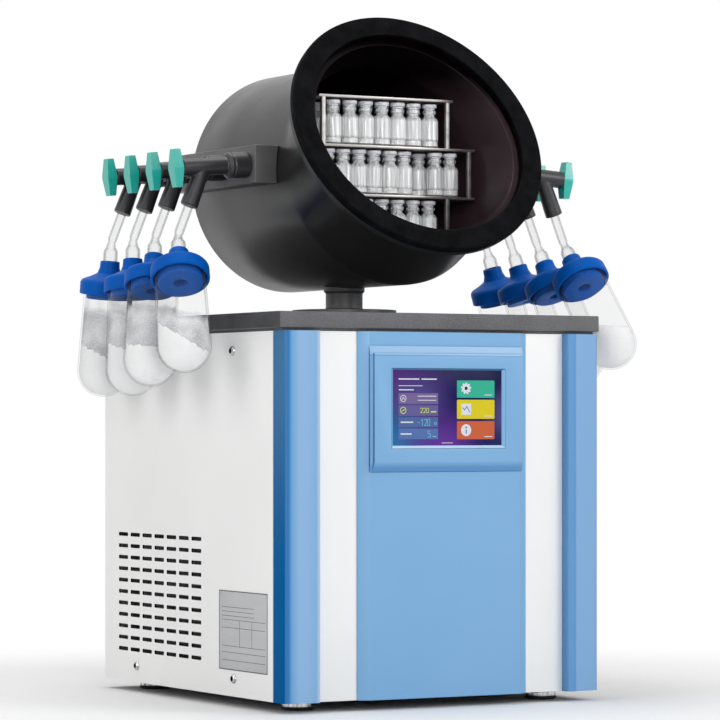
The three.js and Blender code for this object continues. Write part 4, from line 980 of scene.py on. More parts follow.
# ---- Back ----
# The back panel is the same white sheet as the sides, with tall outlet slots. It carries the mains
# inlet and its rocker switch, and the steel port for the pump's hose.
OUTLET_SLOTS, OUTLET_PITCH, OUTLET_Z = 12, 16 * MM, 148 * MM
OUTLET_WIDE, OUTLET_TALL, OUTLET_CORNER = 6 * MM, 150 * MM, 2.9 * MM
low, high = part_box("rear_panel")
mesh = grown(sheet_tree, {
    "Width": high.x - low.x, "Height": high.z - low.z, "Thickness": high.y - low.y,
    "Slot Length": OUTLET_WIDE, "Slot Height": OUTLET_TALL, "Slot Corner": OUTLET_CORNER,
    "Columns": OUTLET_SLOTS, "Rows": 1, "Grid Width": (OUTLET_SLOTS - 1) * OUTLET_PITCH,
    "Grid Height": 0.0, "Grid Centre": (0, OUTLET_Z - (low.z + high.z) / 2, 0),
    "Paint": white_coat})
mesh.transform(Matrix(((-1, 0, 0, (low.x + high.x) / 2), (0, 0, 1, low.y),
                       (0, 1, 0, (low.z + high.z) / 2), (0, 0, 0, 1))))
back = shown("back_panel", mesh, white_coat, 30)
# The inlet's and the switch's openings as (middle's height, half width, half height).
for z, half_x, half_z in ((73, 14.3, 11.3), (107, 11.3, 15.6)):
    cut_by(back, slab((150 - half_x, 240, z - half_z), (150 + half_x, 250, z + half_z)))
cut_by(back, moved(rod(12.8, -10, 10), aimed(at(-140, 247, 343), (0, 1, 0))))
paint_slot_shade(back, 1)
fixed(back, "white_paint", "rear_panel")

black_plastic = finish("black_plastic", shade(24, 24, 26), shade(36, 36, 39), 20, (0.42, 0.55), 0.5,
                       0.03)
copied("mains_inlet", "power_inlet", black_plastic, 0.4, "black_plastic")
rocker_black = finish("switch_rocker", shade(26, 26, 28), shade(36, 36, 38), 12, (0.28, 0.36), 0.4,
                      0.01)
copied("mains_switch", "power_rocker", rocker_black, 0.8, "black_plastic", body="rocker")
bright_steel = finish("bright_steel", shade(168, 168, 170), shade(206, 206, 206), 14, (0.2, 0.34),
                      0.5, 0.01, stretch=(1, 1, 0.12), metallic=1.0)
start = (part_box("vacuum_port")[0].y - MIDDLE.y) / MM
port_line = [(10, 0), (12.5, 0), (12.5, 38), (20, 43), (20, 48), (15.5, 48), (15.5, 46.6),
             (10, 46.6)]
port = turned(scaled(eased(port_line, 0.7, loop=True)), 64, ring=True)
fixed(built("pump_port", moved(port, aimed(at(-140, start, 343), (0, 1, 0))), bright_steel, 40),
      "bright_steel", "vacuum_port")

# ---- Refrigeration ----
# Inside the cabinet: a steel cold trap under the column, a black compressor, and a finned condenser
# with its motor and fan behind the left panel's slots.
copied("cold_trap_vessel", "cold_trap", bright_steel, 0.5, "bright_steel", 30)
shell_paint = finish("compressor_paint", shade(22, 22, 24), shade(34, 34, 37), 40, (0.25, 0.36),
                     0.8, 0.03)
copied("compressor_shell", "compressor", shell_paint, 1.2, "black_paint", 40)
coil_metal = finish("coil_metal", shade(160, 163, 166), shade(192, 194, 196), 10, (0.3, 0.45), 0.6,
                    0.02, metallic=0.9)
COIL_LOW, COIL_HIGH = (-207, -29.4, 15), (-167, 200.6, 205)
FIN_COUNT, FIN_THICK, FIN_MARGIN, END_THICK = 64, 0.5, 3, 1.5
holder = eased_copy("fan_motor", "condenser_unit", dull_metal, 0.0)
cut_by(holder, slab([v - 5 for v in COIL_LOW], (COIL_HIGH[0] - 0.2, COIL_HIGH[1] + 5,
                                                COIL_HIGH[2] + 5)))
fixed(holder, "coil_metal", "condenser_unit")
fin = slab((COIL_LOW[0], -FIN_THICK / 2, COIL_LOW[2]), (COIL_HIGH[0], FIN_THICK / 2, COIL_HIGH[2]))
fin = moved(fin, Matrix.Translation(-MIDDLE))
fin_pitch = (COIL_HIGH[1] - COIL_LOW[1] - 2 * FIN_MARGIN) / (FIN_COUNT - 1)
fin_places = [at(0, COIL_LOW[1] + FIN_MARGIN + i * fin_pitch, 0) for i in range(FIN_COUNT)]
fins = repeated(fin, fin_places, [(0, 0, 1)] * FIN_COUNT, coil_metal)
fixed(shown("condenser_fins", fins, coil_metal), "coil_metal", "condenser_unit")
tube = rod(4.4, 0, 230, 12)
tubes = [moved(tube, aimed(at(x, COIL_LOW[1], z), (0, 1, 0))) for x in (-197, -177)
         for z in range(33, 200, 22)]
ends = [slab((COIL_LOW[0] - 1, y, COIL_LOW[2]), (COIL_HIGH[0], y + END_THICK, COIL_HIGH[2]))
        for y in (COIL_LOW[1], COIL_HIGH[1] - END_THICK)]
copper = finish("coil_tubes", shade(150, 92, 62), shade(184, 120, 84), 12, (0.3, 0.45), 0.6, 0.02,
                metallic=0.9)
for name, shapes, metal in (("tubes", tubes, copper), ("ends", ends, coil_metal)):
    fixed(built(f"condenser_{name}", together(*shapes), metal), "coil_metal", "condenser_unit")
copied("fan_blades", "condenser_fan", black_plastic, 0.3, "black_plastic", 40, body="fan")

# ---- Column ----
# A flanged steel pipe that carries the drum. It stands on the worktop, is welded under the drum
# with a short collar, and is painted satin black.
AXIS_Z, DRUM_RADIUS, DRUM_STEPS, PIPE_BORE = 669.0, 144.0, 192, 19
column_paint = finish("column_paint", shade(66, 66, 67), shade(74, 74, 75), 60, (0.4, 0.5), 1.0,
                      0.015)
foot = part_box("drum_column")[0].z / MM
line = [(PIPE_BORE, foot), (67.8, foot), (67.8, foot + 10.3), (26, foot + 10.6), (24, foot + 12.5),
        (24, 519), (26.6, 521), (26.6, 545), (PIPE_BORE, 545)]
pipe = turned(scaled(eased(line, 1.2, loop=True)), 96, ring=True)
column = built("column", moved(pipe, Matrix.Translation(MIDDLE)), column_paint)
drum_round = rod(DRUM_RADIUS + 0.2, -300, 300, DRUM_STEPS)
cut_by(column, moved(drum_round, aimed(at(0, 0, AXIS_Z), (0, 1, 0))))
fixed(column, "black_paint", "drum_column")

# ---- Drum ----
# The vacuum drum: rolled plate with a flat back, a straight length and a front length mitred to tip
# the mouth upward, ending in a flange. Satin black outside, a smoother dark lining inside.
DRUM_INNER, BEND_Y, DRUM_BACK = 138.0, -109.0, 155.0
TILT = math.radians(29.5)
OUT = Vector((0, -math.cos(TILT), math.sin(TILT)))
RISE = Vector((0, math.sin(TILT), math.cos(TILT)))
FLANGE_BACK, FLANGE_FACE, FLANGE_RADIUS = 76.2, 84.2, 171.0


def turn_of(radius, place):
    """A ring of points, each placed by how far it is to the right of the axis and above it."""
    return [place(radius * math.cos(math.tau * i / DRUM_STEPS),
                  radius * math.sin(math.tau * i / DRUM_STEPS)) for i in range(DRUM_STEPS)]


def level_ring(radius, y):
    """A ring of the level length."""
    return turn_of(radius, lambda x, z: at(x, y, AXIS_Z + z))


def mitre_ring(radius, shift=0.0, out=0.0):
    """A ring of the mitred joint, moved along the level length or along the mouth's axis."""
    lean = math.tan(TILT / 2)
    return turn_of(radius, lambda x, z: at(x, BEND_Y + z * lean + shift, AXIS_Z + z)
                   + OUT * out * MM)


def mouth_ring(radius, out):
    """A ring of the front length, out from the joint along the mouth's axis."""
    return turn_of(radius, lambda x, z: bend_point
                   + (OUT * out + Vector((x, 0, 0)) + RISE * z) * MM)


def skin_through(rings):
    """A closed skin through rings, with the centre of each end as a point."""
    points, faces = stacked(rings)
    for end in (faces.pop(), faces.pop()):
        faces += [[len(points), end[i - 1], end[i]] for i in range(len(end))]
        points.append(sum((points[i] for i in end), Vector()) / len(end))
    return points, faces


drum_paint = finish("drum_paint", shade(17, 17, 18), shade(23, 23, 24), 150, (0.28, 0.33), 1.3,
                    0.006, specular_ior_level=0.48)
lining = finish("drum_lining", shade(7, 2, 4), shade(13, 6, 9), 180, (0.28, 0.32), 2.5, 0.003,
                specular_ior_level=0.08)
# The lining is painted lighter and redder to the right and towards the back, as painted light on
# those walls, and near black above, as painted shade.
bend_point = at(0, BEND_Y, AXIS_Z)
low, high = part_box("mouth_gasket")
mouth_height = (low.z + high.z) / 2
right_wall_painted_light = ramp(lining, place_along(lining, "X"), at(55, 0, 0).x, at(128, 0, 0).x)
deeper = ramp(lining, place_along(lining, "Y"), bend_point.y - 30 * MM, bend_point.y + 70 * MM)
upper = ramp(lining, place_along(lining, "Z"), mouth_height + 35 * MM, mouth_height + 85 * MM)
tone = between(lining, right_wall_painted_light, own_tone(lining), shade(56, 44, 48))
tone = between(lining, deeper, tone, shade(66, 48, 54))
set_shader(lining, {"Base Color": between(lining, upper, tone, shade(4, 1, 2))})
outer, inner, rim = DRUM_RADIUS, DRUM_INNER, FLANGE_RADIUS
rings = [
    level_ring(outer - 2.4, DRUM_BACK), level_ring(outer - 0.7, DRUM_BACK - 0.7),
    level_ring(outer, DRUM_BACK - 2.4), level_ring(outer, 60), level_ring(outer, -20),
    mitre_ring(outer, 8.0), mitre_ring(outer - 0.4), mitre_ring(outer, out=8.0),
    mouth_ring(outer, 52), mouth_ring(outer, FLANGE_BACK - 1.5),
    mouth_ring(outer + 1.5, FLANGE_BACK), mouth_ring(rim - 0.8, FLANGE_BACK),
    mouth_ring(rim, FLANGE_BACK + 0.8), mouth_ring(rim, FLANGE_FACE - 0.8),
    mouth_ring(rim - 0.8, FLANGE_FACE), mouth_ring(inner + 8, FLANGE_FACE),
    mouth_ring(inner + 0.6, FLANGE_FACE), mouth_ring(inner, FLANGE_FACE - 0.6),
    mouth_ring(inner, 52), mitre_ring(inner, out=8.0), mitre_ring(inner), mitre_ring(inner, 8.0),
    level_ring(inner, -20), level_ring(inner, 60), level_ring(inner, DRUM_BACK - 10),
    level_ring(inner - 1.2, DRUM_BACK - 7.2), level_ring(inner - 4, DRUM_BACK - 6)]
drum = built("drum", skin_through(rings), drum_paint, 40)
cut_by(drum, moved(rod(PIPE_BORE, 510, 560), Matrix.Translation(MIDDLE)))
drum.data.set_sharp_from_angle(angle=math.radians(40))
drum.data.materials.append(lining)
mitre_normal = (OUT + Vector((0, -1, 0))).normalized()
for face in drum.data.polygons:
    spot = face.center - bend_point
    line = OUT if spot.dot(mitre_normal) > 0 else Vector((0, 1, 0))
    outward = spot - line * spot.dot(line)
    inner_wall = face.normal.dot(outward.normalized()) < -0.3
    inner_back = face.normal.y < -0.7 and spot.y > 0.2
    at_mouth = spot.dot(OUT) > (FLANGE_FACE - 1) * MM
    inner_lip = at_mouth and outward.length < (DRUM_INNER + 8) * MM
    if inner_wall or inner_back or inner_lip:
        face.material_index = 1
fixed(drum, "black_paint", "drum_shell")

# ---- Mouth gasket ----
# A thick ring moulded in black rubber and pressed on the flange. The chamber's lid seals on its
# flat face.
gasket_rubber = finish("gasket_rubber", shade(2, 2, 3), shade(12, 13, 15), 22, (0.5, 0.7), 1.4,
                       0.02, specular_ior_level=0.035)
line = eased([(145, 0.3), (173, 0.3), (173, 12.3), (145, 12.3)], 2.6, loop=True, steps=5)
ring_shape = turned(scaled(line), DRUM_STEPS, ring=True)
gasket = built("gasket", moved(ring_shape, aimed(bend_point + OUT * FLANGE_FACE * MM, OUT)),
               gasket_rubber, 50)
# The gasket's bore is the same rubber, painted darker as painted shade in the bore.
inner_wall = finish("gasket_bore_painted_shade", shade(2, 1, 2), shade(8, 5, 6), 22, (0.55, 0.7), 1.4, 0.02,
                    specular_ior_level=0.02)
gasket.data.materials.append(inner_wall)
for face in gasket.data.polygons:
    outward = face.center - bend_point
    outward = (outward - OUT * outward.dot(OUT)).normalized()
    if face.normal.dot(outward) < -0.6:
        face.material_index = 1
fixed(gasket, "black_rubber", "mouth_gasket")

# ---- Vial rack ----
# Four bright steel shelves on square posts, welded into one frame. It slides in through the mouth
# and rests on the drum's wall.
rack_steel = finish("rack_steel", shade(150, 146, 144), shade(186, 182, 180), 16, (0.28, 0.4), 0.5,
                    0.012, stretch=(0.1, 1, 1), metallic=0.85)
copied("rack", "vial_rack", rack_steel, 0.5, "bright_steel", 30)

# ---- Vials ----
# Small crimp-necked glass vials stand loosely in rows on three shelves, each with a white stopper
# set half in for drying and a thin cake of product on its floor.
VIAL_RADIUS, VIAL_TALL = 11.4, 48.0
vial_line = [(0, 0.4), (10.2, 0), (VIAL_RADIUS, 1.4), (VIAL_RADIUS, 34), (10.2, 37.4), (7.2, 40),
             (6.6, 42.6), (8.4, 44.2), (8.6, 46.4), (8.0, VIAL_TALL), (5.6, VIAL_TALL), (5.5, 41),
             (10.0, 35.5), (10.4, 33.6), (10.4, 2.6), (0, 1.9)]
stopper_line = [(0, 42), (5.3, 42), (5.3, VIAL_TALL + 0.8), (6.9, VIAL_TALL + 1.2), (6.9, 51.2),
                (9.2, 51.8), (9.4, 52.4), (9.4, 55.6), (8.8, 56.2), (0, 56.4)]
cake_line = [(0, 2.2), (10.2, 2.8), (10.2, 8.2), (9.2, 8.8), (0, 8.4)]
# From the third row on they are plainer, and their product is out of sight.
plain_line = [(0, 0), (VIAL_RADIUS, 0), (VIAL_RADIUS, 34), (7, 40.4), (8.4, 43.6), (8.2, VIAL_TALL),
              (0, VIAL_TALL)]
plain_stopper = [(0, 46), (6.9, 46), (6.9, 51.4), (9.3, 51.8), (9.3, 56.2), (0, 56.2)]


def combined(material, operation, first, second):
    """The result of a sum on two values."""
    return node(material, "Math", {0: first, 1: second}, operation=operation).outputs[0]


vial_glass = blank_finish("vial_glass", {
    "Roughness": 0.06, "IOR": 1.45, "Specular IOR Level": 0.6, "Coat Weight": 0.3})
space = space_of(vial_glass, (1, 1, 0.03))
# The glass's pale vertical streaks are painted reflections.
painted_reflection_streaks = spread(vial_glass, patches(vial_glass, space, 2.4, 2.0), 0, 1, 0.4, 0.6)
# The dried film on the wall is thin over the cake and stops at the shoulder.
film = spread(vial_glass, patches(vial_glass, space, 3.2, 2.0), 0.36, 0.88, 0.36, 0.6)
up_wall = node(vial_glass, "Attribute", {}, attribute_name="height").outputs["Fac"]
thick = combined(vial_glass, "MULTIPLY", ramp(vial_glass, up_wall, 8, 12, 0.25, 1.0),
                 ramp(vial_glass, up_wall, 33, 37, 1.0, 0.55))
set_shader(vial_glass, {
    "Base Color": between(vial_glass, painted_reflection_streaks, shade(226, 230, 231), shade(254, 255, 255)),
    "Alpha": combined(vial_glass, "MULTIPLY", film, thick)})
stopper_rubber = finish("stopper", shade(206, 206, 214), shade(224, 224, 230), 9, (0.5, 0.62), 0.5,
                        0.02)
cake = finish("product_cake", shade(240, 240, 240), shade(250, 250, 250), 2, (0.85, 0.95), 0.6,
              0.12)
ROW_MARGIN, ROW_PITCH, NEAR_ROWS = 13.5, 21.2, 2
low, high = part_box("vial_rack")
first_row = (low.y - MIDDLE.y) / MM + ROW_MARGIN
last_row = (high.y - MIDDLE.y) / MM - ROW_MARGIN
# Each shelf's height, how many vials stand in its front row, and half that row's length. One vial
# of the middle shelf's front row is missing.
SHELVES = {"lower": (578.946, 7, 80), "middle": (640.982, 10, 112), "upper": (703.018, 7, 82)}
MISSING = ("middle", 0, 7)
shuffle = random.Random(41)
for tier, (top, across, half) in SHELVES.items():
    near, rest = [], []
    pitch = (2 * half - 2 * VIAL_RADIUS) / (across - 1)
    row, y = 0, first_row
    while y < last_row:
        odd = row % 2
        for i in range(across - odd):
            x = -half + VIAL_RADIUS + (i + odd / 2) * pitch + shuffle.uniform(-0.5, 0.5)
            if odd and i == across - 2:
                x += 1.0
            spot = at(x, y + shuffle.uniform(-0.8, 0.8), top + 0.15)
            if (tier, row, i) != MISSING:
                (near if row < NEAR_ROWS else rest).append(spot)
        row += 1
        y += ROW_PITCH
    sets = [("glass", "front", near, vial_line, 24, vial_glass, "clear_glass"),
            ("stoppers", "front", near, stopper_line, 20, stopper_rubber, "white_paint"),
            ("cakes", "front", near, cake_line, 16, cake, "white_paint"),
            ("glass", "rear", rest, plain_line, 10, vial_glass, "clear_glass"),
            ("stoppers", "rear", rest, plain_stopper, 8, stopper_rubber, "white_paint")]
    for what, label, places, line, steps, material, slot in sets:
        made = repeated(turned(scaled(line), steps), places, [UP] * len(places), material,
                        math.tau, 5)
        fixed(shown(f"vial_{what}_{tier}_{label}", made, material, 40), slot)

# ---- Manifold bars ----
# A machined block with a black coat, saddled to each side of the drum, with a nipple for each of
# its four valves.
bar_black = finish("bar_black", shade(74, 73, 74), shade(82, 81, 82), 40, (0.38, 0.46), 0.45, 0.012)
for side in ("left", "right"):
    copied(f"manifold_{side}", f"manifold_bar_{side}", bar_black, 1.1, "black_plastic", 40)

# ---- Valve bodies ----
# Each valve is one moulding in black rubber: a socket pushed on the bar's nipple, a straight
# barrel, and a branch that slopes down and holds the adapter. Its joints are softly blended.
DROOP, BRANCH_SLOPE = math.radians(4.5), math.radians(22)
VALVE_OUT = Vector((math.cos(DROOP), 0, -math.sin(DROOP)))
BRANCH_OUT = Vector((math.sin(BRANCH_SLOPE), 0, -math.cos(BRANCH_SLOPE)))
BARREL_REACH, BRANCH_REACH, VALVE_REACH = 62, 53, 92
BRANCH_ROOT = VALVE_OUT * BARREL_REACH
BRANCH_END = BRANCH_ROOT + BRANCH_OUT * BRANCH_REACH
valve_rubber = finish("valve_rubber", shade(34, 33, 36), shade(42, 41, 44), 40, (0.34, 0.42), 0.7,
                      0.012)


def soft_union(shapes, voxel, smooths):
    """Closed shapes fused into one skin with blended joints."""
    thing = closed_object(together(*shapes))
    remesh = thing.modifiers.new("skin", "REMESH")
    remesh.mode, remesh.voxel_size, remesh.adaptivity = "VOXEL", voxel * MM, 0.0
    soften = thing.modifiers.new("soften", "SMOOTH")
    soften.factor, soften.iterations = 0.5, smooths
    made = final_mesh(thing)
    thing.modifiers.clear()
    bpy.data.objects.remove(thing)
    return made


barrel = scaled(eased([(0, 1.8), (16.5, 1.8), (16.5, 22.4), (15.0, 23.2), (15.0, 24.4),
                       (16.6, 25.2), (16.4, 27.2), (13.6, 30.2), (10.9, 30.6), (10.9, 91.9),
                       (0, 91.9)], 0.7))
branch = scaled(eased([(0, 0), (9.8, 0), (11.2, BRANCH_REACH), (0, BRANCH_REACH)], 1.2))
fused = soft_union([moved(turned(barrel, 48), aimed((0, 0, 0), VALVE_OUT)),
                    moved(turned(branch, 40), aimed(BRANCH_ROOT * MM, BRANCH_OUT))], 0.8, 2)
joint_of = {joint["name"]: joint for joint in frame["joints"]}
stations = {}
for side, sign in (("left", -1), ("right", 1)):
    for number in range(1, 5):
        joint = joint_of[f"valve_turn_{side}_{number}"]
        origin = Vector(joint["pos_m"]) - Vector(joint["axis"]) * VALVE_REACH * MM
        place = Matrix.Translation(origin)
        if sign < 0:
            place = place @ Matrix.Rotation(math.pi, 4, "Z")
        stations[side, number] = place
for (side, number), place in stations.items():
    mesh = fused.copy()
    mesh.transform(place)
    valve = shown(f"valve_{side}_{number}", mesh, valve_rubber, 60, outward=False)
    fixed(valve, "black_rubber", f"valve_body_{side}_{number}")

# ---- Knobs ----
# Glossy green grips, wide at the hub and narrow at both ends, each pressed on its valve's stem.
green_plastic = finish("green_plastic", shade(34, 176, 162), shade(40, 182, 168), 60, (0.2, 0.26),
                       0.8, 0.004, coat_weight=0.3)
for side, number in stations:
    knob = f"knob_{side}_{number}"
    copied(knob, "valve_" + knob, green_plastic, 0.6, "green_plastic", 12, 3, body=knob)

# ---- Glass adapters ----
# A bent tube of clear glass pushed up into each valve's branch, drawn in at its bend and widening
# into a socket that holds the cap. How far the front flask hangs forward, by how much each next one
# hangs straighter, and how far each hangs outward, in degrees.
FORWARD = {"left": 32.0, "right": 38.0}
FAN_STEP = 12.687
OUTWARD = {"left": (14, 12, 3.5, 1), "right": (2, 7, 12, 17)}
WIDE_SHOWN, TUBE_SHOWN = 24.0, 41.0
ADAPTER_BEND = BRANCH_END + BRANCH_OUT * TUBE_SHOWN


def lean_of(side, number):
    """Which way a flask hangs from its adapter's bend, in its station's own frame."""
    forward = math.radians(FORWARD[side] - (number - 1) * FAN_STEP)
    outward = math.radians(OUTWARD[side][number - 1])
    turned_back = 1 if side == "left" else -1
    return Vector((math.tan(outward), turned_back * math.tan(forward), -1)).normalized()


def swept(path, radii, steps=36):
    """Rings of points round a path, each with its own radius."""
    rings, side = [], None
    for i, spot in enumerate(path):
        ahead = (path[min(i + 1, len(path) - 1)] - path[max(i - 1, 0)]).normalized()
        side = ahead.orthogonal().normalized() if side is None else (
            side - ahead * side.dot(ahead)).normalized()
        other = ahead.cross(side)
        rings.append([spot + (side * math.cos(math.tau * k / steps)
                              + other * math.sin(math.tau * k / steps)) * radii[i]
                      for k in range(steps)])
    return rings


clear_glass = blank_finish("clear_glass", {"Roughness": 0.04, "IOR": 1.46,
                                           "Specular IOR Level": 0.6})
space = space_of(clear_glass)
drift = spread(clear_glass, patches(clear_glass, space, 14), 0, 1)
edge_on = node(clear_glass, "LayerWeight", {"Blend": 0.35}).outputs["Facing"]
set_shader(clear_glass, {
    "Base Color": between(clear_glass, drift, shade(128, 134, 137), shade(150, 156, 158)),
    "Roughness": spread(clear_glass, patches(clear_glass, space, 12), 0.03, 0.07),
    "Alpha": ramp(clear_glass, edge_on, 0.1, 0.9, 0.05, 0.62)})
TUBE_RADIUS, TUBE_WALL, BEND_REACH, BEND_STEPS = 6.0, 1.3, 8, 12
IN_BRANCH = (-20, -16, -12, -8, -4, 0, 6, 12, 18, 24, 30)
SOCKET = ((9.5, 8.2), (11.5, 9.2), (15, 9.4), (19, 9.4), (24, 9.4), (30, 9.4), (36, 9.4))
for (side, number), place in stations.items():
    down = lean_of(side, number)
    # Straight out of the branch, round the bend on a small arc, then down the flask's own line.
    spots = [(BRANCH_END + BRANCH_OUT * reach, TUBE_RADIUS) for reach in IN_BRANCH]
    before, after = ADAPTER_BEND - BRANCH_OUT * BEND_REACH, ADAPTER_BEND + down * BEND_REACH
    for k in range(BEND_STEPS + 1):
        t = k / BEND_STEPS
        drawn_in = 1.0 * math.exp(-((t - 0.5) / 0.16) ** 2)
        widened = 1.2 * max(0, t - 0.8) / 0.2
        spots.append((before * (1 - t) ** 2 + ADAPTER_BEND * 2 * t * (1 - t) + after * t * t,
                      TUBE_RADIUS - drawn_in + widened))
    spots += [(ADAPTER_BEND + down * reach, radius) for reach, radius in SOCKET]
    path = [p * MM for p, _ in spots]
    outside, inside = (swept(path, [(radius - wall) * MM for _, radius in spots])
                       for wall in (0, TUBE_WALL))
    fixed(built(f"adapter_{side}_{number}", moved(looped(outside + inside[::-1]), place),
                clear_glass, 60), "clear_glass", f"flask_head_{side}_{number}")

# ---- Caps ----
# Deep blue rubber caps: a neck that grips the adapter, a dished shoulder, a thick skirt round the
# flask's mouth, and a plug inside it with a round hole.
cap_rubber = finish("cap_rubber", shade(0, 82, 168), shade(0, 88, 180), 40, (0.4, 0.48), 0.9, 0.012,
                    specular_ior_level=0.08)
cap_line = [(9.5, 0.2), (12.4, 0.2), (12.9, 9), (15.5, 16.2), (24, 20.5), (34.2, 24.6), (36.8, 28),
            (36.9, 43.8), (33.0, 43.8), (32.9, 30.4), (28.1, 30.4), (28.0, 49.8), (8.2, 49.8),
            (8.2, 16), (9.5, 14)]
for (side, number), place in stations.items():
    down = lean_of(side, number)
    cap = turned(scaled(eased(cap_line, 1.5, loop=True)), 72, ring=True)
    stand = aimed((ADAPTER_BEND + down * WIDE_SHOWN) * MM, down)
    fixed(built(f"cap_{side}_{number}", moved(cap, place @ stand), cap_rubber, 60), "blue_rubber",
          f"flask_head_{side}_{number}")

# ---- Flasks ----
# Wide-mouthed round-bottomed flasks of clear glass, blown and fire-polished at the lip, each pushed
# up into its cap.
FLASK_TALL, FLASK_RADIUS, MOUTH_RADIUS, WALL = 146.0, 34.0, 31.3, 2.2
FLASK_STEPS, WALL_ROWS, CAP_DEPTH = 72, 40, 30.3
FLASK_CENTRE = FLASK_RADIUS - FLASK_TALL


def wall_line(radius, count=14):
    """The line of a flask's wall from its floor's middle to its mouth, heights below the mouth."""
    arc = [(radius * math.cos(a), FLASK_CENTRE + radius * math.sin(a))
           for a in (math.radians(-90 + 90 * i / count) for i in range(count + 1))]
    mouth = MOUTH_RADIUS - (FLASK_RADIUS - radius)
    return [(max(p[0], 0.0), p[1]) for p in arc] + [
        (radius + (mouth - radius) * t, FLASK_CENTRE * (1 - t)) for t in (0.25, 0.5, 0.75)]


# Clear thin glass, seen at its edges, with a coat of frost inside where the layer "frost" says so.
flask_glass = blank_finish("flask_glass", {"Roughness": 0.03, "IOR": 1.46,
                                           "Specular IOR Level": 0.6})
space = space_of(flask_glass)
drift = spread(flask_glass, patches(flask_glass, space, 24), 0, 1)
edge_on = node(flask_glass, "LayerWeight", {"Blend": 0.3}).outputs["Facing"]
edge_on = ramp(flask_glass, edge_on, 0.45, 0.98, 0.035, 0.75, "SMOOTHSTEP")
crystals = spread(flask_glass, patches(flask_glass, space, 2.4, 4.0), 0.82, 1.0, 0.3, 0.7)
frost = node(flask_glass, "Attribute", {}, attribute_name="frost").outputs["Fac"]
frost = combined(flask_glass, "MULTIPLY", frost, crystals)
clear_tone = between(flask_glass, drift, shade(132, 138, 141), shade(150, 156, 158))
# Frost is grey where it is thin and whiter in soft clouds, with fine bright crystals.
clouds = spread(flask_glass, patches(flask_glass, space, 34, 1.0), 0, 1, 0.34, 0.66)
frost_tone = between(flask_glass, clouds, shade(182, 184, 186), shade(232, 233, 234))
sparkle = spread(flask_glass, patches(flask_glass, space, 1.7, 3.0), 0, 0.7, 0.52, 0.66)
frost_tone = between(flask_glass, sparkle, frost_tone, shade(246, 247, 248))
set_shader(flask_glass, {
    "Base Color": between(flask_glass, ramp(flask_glass, frost, 0.05, 0.4), clear_tone, frost_tone),
    "Roughness": ramp(flask_glass, frost, 0, 1, 0.03, 0.8),
    "Alpha": combined(flask_glass, "MAXIMUM", edge_on, frost)})


def wall_at(line, share):
    """A point of a wall's line at a share of its length."""
    lengths = [0.0]
    for low, high in zip(line, line[1:]):
        lengths.append(lengths[-1] + math.dist(low, high))
    goal = share * lengths[-1]
    for i in range(1, len(line)):
        if lengths[i] >= goal - 1e-9:
            span = lengths[i] - lengths[i - 1]
            t = (goal - lengths[i - 1]) / span if span else 0
            return (line[i - 1][0] + (line[i][0] - line[i - 1][0]) * t,
                    line[i - 1][1] + (line[i][1] - line[i - 1][1]) * t)
    return line[-1]


def surface_shares(stand, level, surface_up, wall, seed, rough=1.0):
    """How far up a flask's wall a surface reaches, as shares of the wall's line, each with the
    cosine and sine of its angle. Also that line, and the surface's upward direction."""
    line = wall_line(FLASK_RADIUS - wall, 24)
    up = stand.to_3x3().inverted() @ Vector(surface_up)
    tops = []
    for i in range(FLASK_STEPS):
        angle = math.tau * i / FLASK_STEPS
        cosine, sine = math.cos(angle), math.sin(angle)
        low_share, high_share = 0.02, 1.0
        for _ in range(14):
            share = (low_share + high_share) / 2
            radius, height = wall_at(line, share)
            over = Vector((radius * cosine, radius * sine, height + level)).dot(up)
            low_share, high_share = (share, high_share) if over < 0 else (low_share, share)
        wave = 1.1 * noise.noise(Vector((cosine * 2.2 + seed, sine * 2.2, 0.3))) * rough
        tops.append((max(0.03, share + wave / 160), cosine, sine))
    return line, up, tops


RIGHT_HAND = Vector((math.cos(math.radians(29.5)), -math.sin(math.radians(29.5)), 0))
# For each flask: how far down its axis the powder's surface is, and how far it slopes down to the
# right; then the same for the frost's upper edge, which the right-hand flasks don't have.
FILLS = {("left", 1): (96, 29, 58, 8), ("left", 2): (92, 8, 36, 4), ("left", 3): (86, 20, 27, 4),
         ("left", 4): (90, 27, 28, 6), ("right", 1): (84, 2, 0, 0), ("right", 2): (92, 8, 0, 0),
         ("right", 3): (96, 12, 0, 0), ("right", 4): (98, 6, 0, 0)}


def stood(side, number):
    """A flask's place and its seed."""
    down = lean_of(side, number)
    lip = ADAPTER_BEND + down * (WIDE_SHOWN + CAP_DEPTH)
    stand = stations[side, number] @ aimed(lip * MM, -down)
    return stand, number + (10 if side == "left" else 0)


def sloped(slope):
    """The upward direction of a surface that slopes down to the right."""
    tip = math.radians(slope)
    return UP * math.cos(tip) + RIGHT_HAND * math.sin(tip)


outside = wall_line(FLASK_RADIUS)
inside = [wall_at(wall_line(FLASK_RADIUS - WALL, 24), k / WALL_ROWS) for k in range(WALL_ROWS)]
outside[0], inside[0] = (0.0, outside[0][1]), (0.0, inside[0][1])
lip_line = [(MOUTH_RADIUS, -1.2), (MOUTH_RADIUS - 0.4, -0.3), (MOUTH_RADIUS - 1.1, 0),
            (MOUTH_RADIUS - WALL + 0.4, -0.3), (MOUTH_RADIUS - WALL, -1.2)]
flask_shape = turned(scaled(outside + lip_line + inside[::-1]), FLASK_STEPS)
